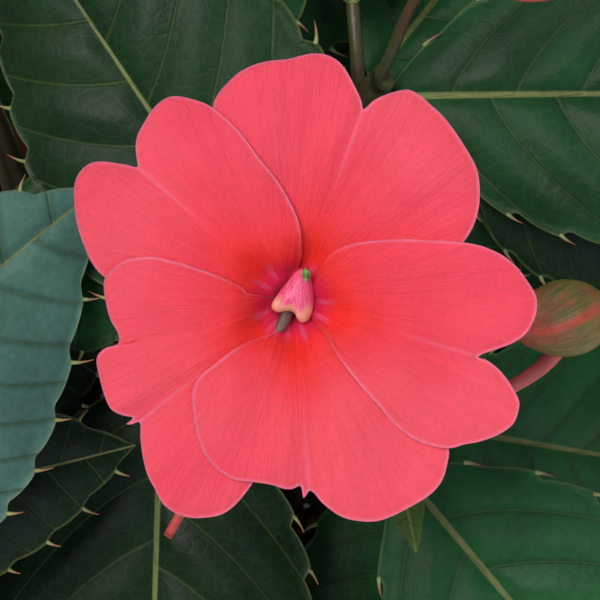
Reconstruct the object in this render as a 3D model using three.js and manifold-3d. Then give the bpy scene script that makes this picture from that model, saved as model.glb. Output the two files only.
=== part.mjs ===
// A potted New Guinea impatiens: a plain clay pot filled with potting mix, leafy shoots with
// saw-edged leaves, flat five-petalled coral blooms with a hooded column and a long spur, and buds.
// Millimetres, +Z up. The origin is the middle of the pot's foot. The bloom on the front shoot
// faces the viewer, who looks along +Y from VIEW_ELEVATION degrees above the horizon.
import * as THREE from "three";
import { mergeVertices } from "three/addons/utils/BufferGeometryUtils.js";
import Module from "manifold-3d";

const wasm = await Module();
wasm.setup();

// Driving dimensions
const POT = { rim: 80, foot: 54, height: 136, wall: 6.5, floor: 9, sides: 24 };
const BAND = { height: 30, proud: 4.5, inset: 2.5 };
const DRAIN = { radius: 6, ring: 27, count: 3 };
const SOIL = { below: 17, dome: 7, lump: 1.6, rings: 4 };
const STEM = { foot: 4.0, top: 2.1, steps: 5, sides: 5, depth: 26, spread: 0.3 };
const FIT_GAP = 0.35;
const BLOOM_RADIUS = 33;
const VIEW_ELEVATION = 58;
const LEAF = { petiole: 13, petioleRadius: 1.3, rib: 1.2, widthShare: 0.47, keel: 0.2, arch: 0.3 };
const CLEAR = { gap: 2, reach: 6.5 };
const UP = new THREE.Vector3(0, 0, 1);
const VIEW = direction(-90, VIEW_ELEVATION);

const COLOURS = {
  clay: { color: 0xb2683f, roughness: 0.85 },
  mix: { color: 0x2e2119, roughness: 1.0 },
  foliage: { color: 0x2f4a33, roughness: 0.45 },
  petals: { color: 0xf24d5f, roughness: 0.6 },
  spur: { color: 0xb8463f, roughness: 0.5 },
  column: { color: 0xf07b92, roughness: 0.5 },
  bud: { color: 0x8f9a45, roughness: 0.5 },
};

// Where each shoot's upper whorl stands. A leaf in "placed" has its turn round the shoot's light
// direction and its pitch given, and "skew" is the share by which its left half is the narrower;
// the others follow the whorl rule. "light" is the direction that
// the shoot's leaves face, where it isn't a mean of the stem's and straight up.
const SHOOTS = [
  {
    name: "front",
    tip: [53, -72, 244],
    light: VIEW,
    placed: [
      { turn: 124, pitch: 6, droop: 22, length: 112, width: 53, roll: -25, petiole: 4, skew: 0.07 },
      { turn: 310, pitch: 10, droop: 14, length: 96, width: 50, roll: 5, petiole: 12 },
      { turn: 349, pitch: -20, droop: 18, length: 84, width: 40, roll: 0, petiole: 14, below: 18 },
    ],
    whorls: [[36, 1, 70, 60]],
  },
  {
    name: "middle",
    tip: [19, -39, 230],
    light: VIEW,
    placed: [
      { turn: 268, pitch: 2, droop: 14, length: 106, width: 62, roll: 8, petiole: 12, below: 12, skew: 0.1 },
      { turn: 1, pitch: -2, droop: 16, length: 76, width: 44, roll: 0, petiole: 16, below: 26 },
    ],
    whorls: [[12, 1, 66, 80], [46, 1, 78, 50]],
    young: 0,
  },
  {
    name: "crown",
    tip: [55, -17, 262],
    light: direction(-90, 64),
    placed: [
      { turn: -1, pitch: 12, droop: 14, length: 98, width: 50, roll: 3, petiole: 4 },
      { turn: 52, pitch: -3, droop: 22, length: 84, width: 44, roll: -6, petiole: 12, below: 24 },
    ],
    whorls: [[10, 3, 74, 95], [40, 3, 86, 60]],
    young: 0,
  },
  {
    name: "left_front",
    tip: [-70, -93, 228],
    light: VIEW,
    placed: [{ turn: 40, pitch: 16, droop: 28, length: 92, width: 56, roll: 16, petiole: 6, skew: 0.15 }],
    whorls: [[10, 4, 88, 105], [38, 3, 92, 150]],
  },
  { name: "top", tip: [-24, 4, 272], whorls: [[10, 5, 86, 20], [40, 4, 96, 50]] },
  { name: "left", tip: [-104, -14, 214], whorls: [[10, 4, 88, 130], [40, 3, 92, 180]] },
  { name: "back_left", tip: [-66, 66, 236], whorls: [[10, 5, 86, 100], [42, 2, 92, 60]] },
  { name: "back", tip: [22, 64, 254], whorls: [[10, 5, 86, 70], [42, 2, 94, 20]] },
  { name: "back_right", tip: [92, 48, 226], whorls: [[10, 4, 88, 10], [40, 3, 92, 60]] },
  { name: "right", tip: [122, -34, 206], whorls: [[10, 4, 84, -30], [38, 3, 90, 15]] },
  { name: "front_low", tip: [-18, -114, 176], whorls: [[10, 4, 84, -90], [38, 2, 88, -60]] },
];

// Each bloom: its shoot, the middle of its face, where it looks (turn, elevation), roll and size.
const BLOOMS = [
  { shoot: "front", at: [40, -78, 290], look: [-90, VIEW_ELEVATION], roll: 0, size: 1, traced: true },
  { shoot: "left_front", at: [-92, -118, 258], look: [-128, 44], roll: 8, size: 0.94 },
  { shoot: "top", at: [-34, 14, 312], look: [110, 76], roll: 20, size: 0.96 },
  { shoot: "left", at: [-132, -8, 244], look: [176, 40], roll: -14, size: 0.92 },
  { shoot: "back_left", at: [-84, 88, 268], look: [136, 48], roll: 16, size: 0.95 },
  { shoot: "back", at: [30, 92, 288], look: [76, 56], roll: -10, size: 0.93 },
  { shoot: "back_right", at: [118, 66, 258], look: [28, 42], roll: -20, size: 0.95 },
  { shoot: "right", at: [146, -58, 236], look: [-24, 38], roll: 15, size: 0.9 },
  { shoot: "front_low", at: [-8, -148, 208], look: [-94, 26], roll: -12, size: 0.9 },
];

const BUDS = [
  { shoot: "right", at: [82, -59, 254], look: [-165, 20], roll: 10, size: 1.0 },
  { shoot: "crown", at: [69, -19, 296], look: [-30, 52], roll: 0, size: 0.9 },
  { shoot: "top", at: [-54, -22, 300], look: [-150, 50], roll: 0, size: 0.8 },
  { shoot: "left", at: [-112, -44, 246], look: [-140, 45], roll: 0, size: 0.75 },
  { shoot: "back_left", at: [-38, 82, 268], look: [100, 55], roll: 0, size: 0.85 },
  { shoot: "back_right", at: [84, 82, 252], look: [70, 50], roll: 0, size: 0.7 },
];

// The rim of each petal, in millimetres from the middle of the bloom's face, from one side of its
// claw round to the other, with how far it is stacked forward in the bloom.
const PETALS = [
  {
    stack: 0,
    rim: [
      [-6, 14], [-10, 22], [-11.2, 28], [-8.4, 31.6], [-3.6, 34.4], [2.6, 35.3],
      [7.6, 33.4], [9.7, 30.4], [10.2, 27.8], [11.4, 28.9], [16.6, 30.3], [20.2, 28.2], [24.6, 22.6],
      [27, 15.6], [26, 10.2], [22.4, 6.4], [14, 5],
    ],
  },
  {
    stack: 1,
    rim: [
      [-1.2, 12.6], [-6, 22.2], [-11.5, 27.6], [-17, 29.4], [-20.3, 27], [-22.4, 23],
      [-22.6, 19.4], [-24, 19.8], [-28.8, 19.4], [-31.2, 16.4], [-30.6, 9.8], [-28, 4.4], [-24, 1.2],
      [-13, 0],
    ],
  },
  {
    stack: 2,
    rim: [
      [-12, 3.8], [-15.6, 5.3], [-20.2, 6.3], [-24.6, 4.9], [-26.9, 1.6], [-26.3, -2.2],
      [-24.9, -5.2], [-25.5, -6.6], [-28, -8.2], [-27.2, -12.6], [-25.6, -15.8], [-21.9, -17.2],
      [-21.5, -21], [-19.9, -26.6], [-16.4, -30.4], [-11.2, -31], [-7, -28], [-3, -20], [-1, -12.5],
    ],
  },
  {
    stack: 3,
    rim: [
      [-9.6, -7.8], [-12.6, -10.2], [-14, -12.8], [-14, -17.6], [-12.2, -23], [-8, -25.6],
      [-3, -26.4], [0.6, -26.9], [1.7, -26.3], [2.8, -27.2], [6.4, -30.6], [11.4, -31.8],
      [16.2, -30], [20.6, -27], [22.3, -22.4], [20.6, -16], [11, -8],
    ],
  },
  {
    stack: 4,
    rim: [
      [10, 8.2], [15.4, 8.7], [22.7, 8.5], [28, 7.2], [32.4, 4], [34.8, -0.8], [33.4, -4.6],
      [29.2, -7], [26.7, -8.1], [28.4, -9], [31.2, -12], [32.4, -15.2], [30, -18.6], [24.6, -20.6],
      [19.6, -20.6], [14.4, -17.4], [9.4, -12],
    ],
  },
];

// The petals of the other blooms: where each points and its half width, in degrees, and its length
const PLAIN_PETALS = [
  { stack: 0, turn: 90, spread: 52, reach: 1.0 },
  { stack: 1, turn: 158, spread: 42, reach: 0.97 },
  { stack: 4, turn: 20, spread: 42, reach: 0.99 },
  { stack: 2, turn: 232, spread: 44, reach: 1.06 },
  { stack: 3, turn: 306, spread: 44, reach: 1.04 },
];

function direction(turn, elevation) {
  const [a, e] = [turn, elevation].map(THREE.MathUtils.degToRad);
  return new THREE.Vector3(Math.cos(a) * Math.cos(e), Math.sin(a) * Math.cos(e), Math.sin(e));
}

const radians = THREE.MathUtils.degToRad;
const point = (list) => new THREE.Vector3(...list);
// from + each direction times its amount
const sum = (from, ...pairs) => pairs.reduce((p, [dir, by]) => p.addScaledVector(dir, by), from.clone());

// Shares from 0 to 1 in even steps
const even = (steps) => Array.from({ length: steps + 1 }, (_, i) => i / steps);

// A seeded sequence of numbers from 0 to 1
class Draw {
  constructor(seed) {
    this.state = seed;
  }
  between(low, high) {
    this.state = (this.state * 1664525 + 1013904223) % 4294967296;
    return low + ((high - low) * this.state) / 4294967296;
  }
}

// Stems

const soilTop = POT.height - SOIL.below;

function makeShoot(shoot) {
  const tip = point(shoot.tip);
  const foot = new THREE.Vector3(tip.x * STEM.spread, tip.y * STEM.spread, soilTop - STEM.depth);
  const rise = tip.z - soilTop;
  const knee = new THREE.Vector3(foot.x * 1.25, foot.y * 1.25, soilTop + rise * 0.55);
  const line = new THREE.QuadraticBezierCurve3(foot, knee, tip);
  return { ...shoot, tip, line, length: line.getLength() };
}

// The place and direction on a shoot's line at a distance below its tip, by straight shares of it
function nodeOn(shoot, below) {
  const t = 1 - below / shoot.length;
  return { at: shoot.line.getPoint(t), along: shoot.line.getTangent(t) };
}

// Leaves. A leaf's middle line leaves the stem at a pitch above the plane that faces the light and
// bends down evenly by "droop" degrees; v runs from -1 to 1 across the blade.

function makeLeaf(shoot, spec) {
  const node = nodeOn(shoot, spec.below ?? 8);
  const light = shoot.light ?? sum(UP, [node.along, 1.2]).normalize();
  const east = sum(new THREE.Vector3(1, 0, 0), [light, -light.x]).normalize();
  const north = light.clone().cross(east);
  const a = radians(spec.turn);
  const out = sum(new THREE.Vector3(), [east, Math.cos(a)], [north, Math.sin(a)]);
  return {
    ...spec,
    shoot: shoot.name,
    root: node.at,
    out,
    light,
    side: light.clone().cross(out),
    total: spec.petiole + spec.length,
  };
}

function blade(leaf, s) {
  const widest = 0.4832 * 0.5292;
  return ((leaf.width / 2) * Math.pow(s, 0.85) * Math.pow(1 - s, 1.15)) / widest;
}

// The leaf's middle line at a distance from the stem, with its across and upward directions
function leafFrame(leaf, distance) {
  const share = distance / leaf.total;
  const start = radians(leaf.pitch);
  const bend = radians(leaf.droop);
  const angle = start - bend * share;
  const size = leaf.total / bend;
  const at = sum(
    leaf.root,
    [leaf.out, size * (Math.sin(start) - Math.sin(angle))],
    [leaf.light, size * (Math.cos(angle) - Math.cos(start))],
  );
  const normal = sum(new THREE.Vector3(), [leaf.light, Math.cos(angle)], [leaf.out, -Math.sin(angle)]);
  const roll = radians(leaf.roll) * share;
  const across = sum(new THREE.Vector3(), [leaf.side, Math.cos(roll)], [normal, Math.sin(roll)]);
  const up = sum(new THREE.Vector3(), [normal, Math.cos(roll)], [leaf.side, -Math.sin(roll)]);
  return { at, across, up };
}

function leafPoint(leaf, s, v, reach = 1) {
  const { at, across, up } = leafFrame(leaf, leaf.petiole + s * leaf.length);
  const half = blade(leaf, s) * reach * (1 - (leaf.skew ?? 0) * v);
  const lift = half * (LEAF.keel * Math.abs(v) - LEAF.arch * v * v);
  return { at: sum(at, [across, v * half], [up, lift]), up };
}

// Room. Everything that a new leaf must stay clear of is a set of points on a surface, with its
// normals, or on a round line, with its radius. A leaf that has no free place is left out.

function thing(shoot, points, normals, radius = 0) {
  const middle = points.reduce((m, p) => m.add(p), new THREE.Vector3()).divideScalar(points.length);
  const size = Math.max(...points.map((p) => p.distanceTo(middle)));
  return { shoot, points, normals, radius, middle, size };
}

function leafThing(leaf) {
  const points = [];
  const normals = [];
  for (let i = 0; i < 12; i++)
    for (let j = -3; j <= 3; j++) {
      const { at, up } = leafPoint(leaf, 0.05 + (0.94 * i) / 11, j / 3);
      points.push(at);
      normals.push(up);
    }
  return thing(leaf.shoot, points, normals);
}

function lineThing(shoot, curve, radius, from = 0) {
  const count = Math.max(2, Math.ceil(curve.getLength() / 4));
  const points = even(count).map((t) => curve.getPoint(from + (1 - from) * t));
  return thing(shoot, points, null, radius);
}

// Heights of one thing's points over another's surface, where they lie above or below it
function heightsOver(points, surface) {
  const heights = [];
  for (const p of points) {
    let best = Infinity;
    let k = 0;
    surface.points.forEach((q, i) => {
      const d = p.distanceToSquared(q);
      if (d < best) [best, k] = [d, i];
    });
    const height = p.clone().sub(surface.points[k]).dot(surface.normals[k]);
    if (best - height * height < CLEAR.reach ** 2) heights.push(height);
  }
  return heights;
}

function meets(a, b) {
  if (a.middle.distanceTo(b.middle) > a.size + b.size + CLEAR.reach) return false;
  const gap = CLEAR.gap + a.radius + b.radius;
  if (!a.normals && !b.normals)
    return a.points.some((p) => b.points.some((q) => p.distanceTo(q) < gap));
  return [[a, b], [b, a]].some(([over, surface]) => {
    if (!surface.normals) return false;
    const heights = heightsOver(over.points, surface);
    const low = Math.min(...heights);
    const high = Math.max(...heights);
    return heights.length > 0 && low < gap && high > -gap;
  });
}

const TRIES = [];
for (const size of [1, 0.88, 0.76])
  for (const turn of [0, 12, -12, 24, -24])
    for (const pitch of [0, 8, -8, 16, -16, 24, -24, 34]) TRIES.push({ size, turn, pitch });

// The space between the front bloom and the viewer stays free of leaves
function hidesFrontBloom(made) {
  const face = point(BLOOMS[0].at);
  return made.points.some((p) => {
    const from = p.clone().sub(face);
    const depth = from.dot(VIEW);
    return depth > -52 && from.addScaledVector(VIEW, -depth).length() < 66;
  });
}

function placeLeaf(shoot, spec, room) {
  for (const { size, turn, pitch } of spec.fixed ? [TRIES[0]] : TRIES) {
    const leaf = makeLeaf(shoot, {
      ...spec,
      turn: spec.turn + turn,
      pitch: spec.pitch + pitch,
      length: spec.length * size,
      width: spec.width * size,
    });
    const made = leafThing(leaf);
    if (!spec.fixed) {
      if (hidesFrontBloom(made) || made.points.some((p) => p.z < POT.height + 4)) continue;
      if (room.some((other) => meets(made, other))) continue;
    }
    room.push(made);
    return leaf;
  }
  return null;
}

// Blooms and buds stand on stalks from the shoot's upper whorl.

function faceFrame(spec) {
  const look = direction(...spec.look);
  const east = UP.clone().cross(look).normalize();
  const north = look.clone().cross(east);
  const a = radians(spec.roll);
  const right = sum(new THREE.Vector3(), [east, Math.cos(a)], [north, Math.sin(a)]);
  return { centre: point(spec.at), right, up: look.clone().cross(right), look };
}

const inFace = (face, size, [x, y, z]) =>
  sum(face.centre, [face.right, x * size], [face.up, y * size], [face.look, z * size]);

const SPUR = [[0, -1, -9.2], [-2.4, -6, -15], [-8.4, -17.5, -21.6], [-14.6, -28.4, -22.6], [-19, -36, -19.6]];
const STALK_END = [0, 2.2, -11.6];
const BUD = { length: 19, radius: 6.2 };
const BUD_SPUR = [[1.2, -5.2, -3], [1.6, -10.5, -0.5], [3.2, -13.6, 6], [5, -12.8, 13], [6.4, -9.4, 18.5]];

function makeStalk(shoot, face, end, below, size) {
  const node = nodeOn(shoot, below);
  const top = inFace(face, size, end);
  const reach = top.distanceTo(node.at);
  return new THREE.CubicBezierCurve3(
    node.at,
    sum(node.at, [node.along, reach * 0.42]),
    sum(top, [face.look, -reach * 0.38]),
    top,
  );
}

const spurCurve = (face, size, points) =>
  new THREE.CatmullRomCurve3(points.map((p) => inFace(face, size, p)), false, "catmullrom", 0.5);

function bloomThing(name, face, size) {
  const points = [];
  for (const [radius, count] of [[0, 1], [11, 6], [22, 12], [33, 18]])
    for (let i = 0; i < count; i++) {
      const a = (2 * Math.PI * i) / count;
      points.push(inFace(face, size, [radius * Math.cos(a), radius * Math.sin(a), 0]));
    }
  return thing(name, points, points.map(() => face.look), 2.2);
}

// The small upright leaves at a shoot's tip
function youngLeaves(shoot, draw) {
  const first = draw.between(0, 360);
  return [0, 180].slice(0, shoot.young ?? 2).map((turn) => {
    const length = draw.between(20, 30);
    const shape = { length, width: length * 0.36, petiole: 3, teeth: 1 };
    const stance = { turn: first + turn, pitch: 62, droop: 40, roll: 0, below: 1 };
    return makeLeaf({ ...shoot, light: nodeOn(shoot, 1).along }, { ...shape, ...stance });
  });
}

// The whole plan: what stands where
function planPlant() {
  const shoots = SHOOTS.map(makeShoot);
  const shootNamed = Object.fromEntries(shoots.map((s) => [s.name, s]));
  const room = shoots.map((s) => lineThing(s.name, s.line, STEM.foot - 1, 0.3));
  const stand = (spec, end, below) => {
    const face = faceFrame(spec);
    const shoot = shootNamed[spec.shoot];
    return { ...spec, face, stalk: makeStalk(shoot, face, end, below, spec.size) };
  };
  const petalDraw = new Draw(41);
  const blooms = BLOOMS.map((spec) => ({ ...stand(spec, STALK_END, 5), rims: rimsOf(spec, petalDraw) }));
  const buds = BUDS.map((spec) => stand(spec, [0, 0, -BUD.length * 0.5 - 0.6], 9));
  for (const bloom of blooms) {
    room.push(bloomThing(bloom.shoot, bloom.face, bloom.size));
    room.push(lineThing(bloom.shoot, spurCurve(bloom.face, bloom.size, SPUR), 1));
  }
  for (const bud of buds) {
    const ends = [-0.5, 0.5].map((k) => inFace(bud.face, bud.size, [0, 0, k * BUD.length]));
    room.push(lineThing(bud.shoot, new THREE.LineCurve3(...ends), BUD.radius));
    room.push(lineThing(bud.shoot, spurCurve(bud.face, bud.size, BUD_SPUR), 1));
  }
  for (const each of [...blooms, ...buds]) room.push(lineThing(each.shoot, each.stalk, 1, 0.12));
  const youngDraw = new Draw(27);
  const young = shoots.flatMap((shoot) => youngLeaves(shoot, youngDraw));
  room.push(...young.map(leafThing));
  const leaves = [];
  const grow = (shoot, spec) => {
    const leaf = placeLeaf(shoot, spec, room);
    if (leaf) leaves.push(leaf);
  };
  for (const shoot of shoots)
    for (const spec of shoot.placed ?? []) grow(shoot, { below: 8, teeth: 7, ...spec, fixed: true });
  const draw = new Draw(7);
  for (const tier of [0, 1])
    for (const shoot of shoots) {
      if (!shoot.whorls[tier]) continue;
      const [below, count, length, first] = shoot.whorls[tier];
      for (let i = 0; i < count; i++) {
        const long = length * draw.between(0.9, 1.06);
        grow(shoot, {
          below: below + draw.between(-3, 3),
          turn: first + (360 * i) / count + draw.between(-9, 9),
          pitch: (tier ? 2 : 14) + draw.between(-5, 5),
          droop: draw.between(36, 58),
          length: long,
          width: long * LEAF.widthShare * draw.between(0.92, 1.08),
          roll: draw.between(-12, 12),
          petiole: LEAF.petiole * draw.between(0.9, 1.35),
          teeth: 4,
        });
      }
    }
  return { shoots, blooms, buds, leaves: [...leaves, ...young] };
}

// Solids

// One closed mesh from its corners and faces, turned outwards
function closed(corners, faces) {
  const geometry = new THREE.BufferGeometry();
  const places = corners.flatMap((c) => c.toArray());
  geometry.setAttribute("position", new THREE.Float32BufferAttribute(places, 3));
  const swept = ([a, b, c]) => corners[a].dot(corners[b].clone().cross(corners[c]));
  const volume = faces.reduce((total, face) => total + swept(face), 0);
  geometry.setIndex(faces.flatMap(([a, b, c]) => (volume < 0 ? [a, c, b] : [a, b, c])));
  return geometry;
}

function solidOf(geometry) {
  const bare = geometry.clone();
  bare.deleteAttribute("normal");
  bare.deleteAttribute("uv");
  const merged = mergeVertices(bare, 1e-4);
  const vertProperties = merged.attributes.position.array;
  const triVerts = new Uint32Array(merged.index.array);
  return new wasm.Manifold(new wasm.Mesh({ numProp: 3, vertProperties, triVerts }));
}

function geometryOf(solid) {
  const { vertProperties, triVerts } = solid.getMesh();
  return new THREE.BufferGeometry()
    .setAttribute("position", new THREE.BufferAttribute(vertProperties, 3))
    .setIndex(new THREE.BufferAttribute(triVerts, 1));
}

const joined = (geometries) => geometries.map(solidOf).reduce((all, next) => all.add(next));

// A skin over rings of equally many corners, closed at both ends
function loft(rings) {
  const n = rings[0].length;
  const faces = [];
  for (let k = 0; k + 1 < rings.length; k++)
    for (let i = 0; i < n; i++) {
      const [a, b] = [k * n + i, k * n + ((i + 1) % n)];
      faces.push([a, b, b + n], [a, b + n, a + n]);
    }
  const last = (rings.length - 1) * n;
  for (let i = 1; i + 1 < n; i++) {
    faces.push([0, i + 1, i]);
    faces.push([last, last + i, last + i + 1]);
  }
  return closed(rings.flat(), faces);
}

function tube(curve, along, sides, radiusAt) {
  let across = null;
  return loft(
    along.map((t) => {
      const tangent = curve.getTangent(t);
      const base = across ?? (Math.abs(tangent.z) < 0.9 ? UP : new THREE.Vector3(1, 0, 0));
      across = sum(base, [tangent, -base.dot(tangent)]).normalize();
      const other = tangent.clone().cross(across);
      const at = curve.getPoint(t);
      return Array.from({ length: sides }, (_, i) => {
        const a = (2 * Math.PI * i) / sides;
        return sum(at, [across, Math.cos(a) * radiusAt(t)], [other, Math.sin(a) * radiusAt(t)]);
      });
    }),
  );
}

const stemRadius = (t) => STEM.foot + (STEM.top - STEM.foot) * t;

// Petiole and blade in one: rings of left edge, upper rib, right edge and lower rib
function leafGeometry(leaf, teeth) {
  const rings = [];
  for (const share of [0, 1]) {
    const { at, across, up } = leafFrame(leaf, leaf.petiole * share);
    const r = LEAF.petioleRadius;
    rings.push([sum(at, [across, -r]), sum(at, [up, r]), sum(at, [across, r]), sum(at, [up, -r])]);
  }
  const stations = [];
  for (let k = 1; k <= teeth; k++) {
    const s = k / (teeth + 1);
    stations.push([s, 1.05], [s + 0.28 / (teeth + 1), 0.9]);
  }
  stations.push([0.985, 1]);
  for (const [s, reach] of stations) {
    const half = (LEAF.rib / 2) * (1.15 - 0.5 * s);
    const { at, up } = leafPoint(leaf, s, 0);
    const [left, right] = [-1, 1].map((v) => leafPoint(leaf, s, v, reach).at);
    rings.push([left, sum(at, [up, half]), right, sum(at, [up, -half])]);
  }
  return loft(rings);
}

function shootSolid(plan, shoot) {
  const pieces = [tube(shoot.line, even(STEM.steps), STEM.sides, stemRadius)];
  for (const each of [...plan.blooms, ...plan.buds])
    if (each.shoot === shoot.name) pieces.push(tube(each.stalk, even(5), 4, (t) => 1.5 - 0.5 * t));
  for (const leaf of plan.leaves)
    if (leaf.shoot === shoot.name) pieces.push(leafGeometry(leaf, leaf.teeth));
  return joined(pieces);
}

// Blooms

// The petals lie one above another: near the throat they dip, and from there out they are
// shallow cones, so that they never cross.
const PETAL = { thick: 0.6, claw: 4, throat: 12, dip: -4.4, clawStep: 0.75, step: 0.95, slope: 0.07 };

function petalHeight(stack, r) {
  const deep = PETAL.dip + stack * PETAL.clawStep;
  const shelf = stack * PETAL.step;
  const t = (r - PETAL.claw) / (PETAL.throat - PETAL.claw);
  return t < 1 ? deep + (shelf - deep) * t : shelf + (r - PETAL.throat) * PETAL.slope;
}

// The rims of a bloom's petals: the front bloom's own, or petals with a notched end whose spread,
// length and notch are drawn
function rimsOf(bloom, draw) {
  if (bloom.traced)
    return PETALS.map(({ stack, rim }) => {
      const line = new THREE.CatmullRomCurve3(rim.map(([x, y]) => new THREE.Vector3(x, y, 0)));
      return { stack, rim: line.getPoints(16) };
    });
  return PLAIN_PETALS.map(({ stack, turn, spread, reach }) => {
    const half = spread * draw.between(0.94, 1.06);
    const long = BLOOM_RADIUS * reach * draw.between(0.95, 1.04);
    const notch = draw.between(0.07, 0.17);
    const aside = draw.between(-0.14, 0.14);
    const lobe = (side) => [[side, 0.42], [0.84 * side, 0.85], [0.42 * side, 1.01]];
    const lobes = [...lobe(-1), [aside, 1 - notch], ...lobe(1).reverse()];
    return {
      stack,
      rim: lobes.map(([across, far]) => {
        const a = radians(turn + half * across);
        return new THREE.Vector3(long * far * Math.cos(a), long * far * Math.sin(a), 0);
      }),
    };
  });
}

// A thin blade from a claw of three points to the rim, alike on both faces, which meet at its edge
function petalGeometry({ stack, rim }, face, size) {
  const corners = [];
  const rings = [PETAL.claw, PETAL.throat, Infinity].map((radius, j) => {
    const last = rim.length - 1;
    const edges = j ? rim : [rim[0], rim[Math.round(last / 2)], rim[last]];
    return edges.map((edge, i) => {
      const reach = Math.min(radius, edge.length());
      const at = edge.clone().setLength(reach);
      const z = petalHeight(stack, reach);
      const half = i === 0 || i === edges.length - 1 || j === 2 ? 0 : PETAL.thick / 2;
      corners.push(inFace(face, size, [at.x, at.y, z + half]));
      if (half) corners.push(inFace(face, size, [at.x, at.y, z - half]));
      return [corners.length - (half ? 2 : 1), corners.length - 1];
    });
  });
  const faces = [];
  const both = (a, b, c) => {
    faces.push([a[0], b[0], c[0]], [a[1], c[1], b[1]]);
  };
  const [claw, throat, edge] = rings;
  const middle = Math.round((throat.length - 1) / 2);
  for (let i = 0; i + 1 < throat.length; i++) both(claw[i < middle ? 0 : 2], throat[i], throat[i + 1]);
  both(claw[0], throat[middle], claw[1]);
  both(claw[1], throat[middle], claw[2]);
  for (let i = 0; i + 1 < throat.length; i++) {
    both(throat[i], edge[i], edge[i + 1]);
    both(throat[i], edge[i + 1], throat[i + 1]);
  }
  faces.push([claw[0][0], claw[1][0], claw[1][1]], [claw[1][0], claw[2][0], claw[1][1]]);
  return closed(corners, faces.filter(([a, b, c]) => a !== b && b !== c && a !== c));
}

// Turned parts on the bloom's own axis, from a profile of radius and depth
function turned(face, size, profile, sides) {
  const rings = profile.map(([radius, z]) =>
    Array.from({ length: sides }, (_, i) => {
      const a = (2 * Math.PI * i) / sides;
      return inFace(face, size, [radius * Math.cos(a), radius * Math.sin(a), z]);
    }),
  );
  return loft(rings);
}

const petalsSolid = ({ face, size, rims }) =>
  joined([
    turned(face, size, [[5, -0.8], [5, -5.4], [2.4, -7.6]], 4),
    ...rims.map((petal) => petalGeometry(petal, face, size)),
  ]);

// The hooded column: a bent drop with two lobes at its lower end
function columnGeometry({ face, size }) {
  const profile = [
    [0.8, 3, 1.6], [1.9, 1.6, 3.2], [2.8, -0.8, 3.4], [2.4, -2.6, 2.5], [1.1, -3.4, 1.4],
  ];
  const low = -0.45;
  const rings = profile.map(([half, y, top]) =>
    Array.from({ length: 6 }, (_, i) => {
      const a = (2 * Math.PI * i) / 6;
      const z = (top + low) / 2 + ((top - low) / 2) * Math.sin(a);
      return inFace(face, size, [0.3 + y * 0.25 + half * Math.cos(a), y, z]);
    }),
  );
  return loft(rings);
}

// Lower sepal and spur in one tapering tube, with a small side sepal on either side of its mouth
function calyxSolid({ face, size }) {
  const radius = (t) => size * (0.75 + 2.4 * Math.pow(1 - t, 5));
  const spur = tube(spurCurve(face, size, SPUR), even(7), 5, radius);
  const sepals = [-1, 1].map((k) => {
    const ring = ([x, y, z], half, thick) =>
      [[0, half], [thick, 0], [0, -half], [-thick, 0]]
        .map(([dz, dy]) => inFace(face, size, [x, y + dy, z + dz]));
    return loft([ring([k * 1.6, 0, -9.6], 2.2, 0.5), ring([k * 8.2, 2.6, -9.9], 0.4, 0.3)]);
  });
  return joined([spur, ...sepals]);
}

function budSolid({ face, size }) {
  const { length, radius } = BUD;
  const profile = [[0.5, -0.5], [0.92, -0.3], [1, -0.05], [0.72, 0.24], [0.25, 0.5]];
  const body = turned(face, size, profile.map(([r, z]) => [r * radius, z * length]), 7);
  const spur = tube(spurCurve(face, size, BUD_SPUR), even(6), 4, (t) => size * (1.5 - 0.8 * t));
  return joined([body, spur]);
}

// Pot and potting mix

// Radius of the pot's inner wall at a height
function wallAt(z) {
  const band = POT.height - BAND.height;
  const mouth = POT.rim - POT.wall;
  const waist = mouth - BAND.inset;
  const foot = POT.foot - POT.wall;
  if (z > band) return waist + (BAND.inset * (z - band)) / BAND.height;
  return foot + ((waist - foot) * (z - POT.floor)) / (band - POT.floor);
}

function potSolid() {
  const { rim, foot, height, floor, sides } = POT;
  const band = height - BAND.height;
  const body = rim - BAND.proud;
  const profile = [
    [0, 0], [foot - 1.5, 0], [foot, 1.5], [body - 1, band - 2], [rim - 0.5, band], [rim + 1, height - 2],
    [rim - 0.5, height], [wallAt(height) + 1, height], [wallAt(height - 2), height - 2], [wallAt(band), band],
    [wallAt(floor), floor], [0, floor],
  ];
  const outline = profile.map(([r, z]) => new THREE.Vector2(r, z));
  let pot = solidOf(new THREE.LatheGeometry(outline, sides).rotateX(Math.PI / 2));
  for (let i = 0; i < DRAIN.count; i++) {
    const a = (2 * Math.PI * (i + 0.5)) / DRAIN.count;
    const hole = new THREE.CylinderGeometry(DRAIN.radius, DRAIN.radius, 3 * floor, 8).rotateX(Math.PI / 2);
    pot = pot.subtract(solidOf(hole.translate(DRAIN.ring * Math.cos(a), DRAIN.ring * Math.sin(a), 0)));
  }
  return pot;
}

// Height of the lumpy top of the mix
function soilHeight(x, y) {
  const r = Math.hypot(x, y) / (POT.rim - POT.wall);
  const lumps = Math.sin(x * 0.31 + 1.3) * Math.cos(y * 0.27) + 0.6 * Math.sin(x * 0.11 - y * 0.17);
  return soilTop + SOIL.dome * (1 - r * r) + SOIL.lump * lumps * (1 - r ** 6);
}

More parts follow.
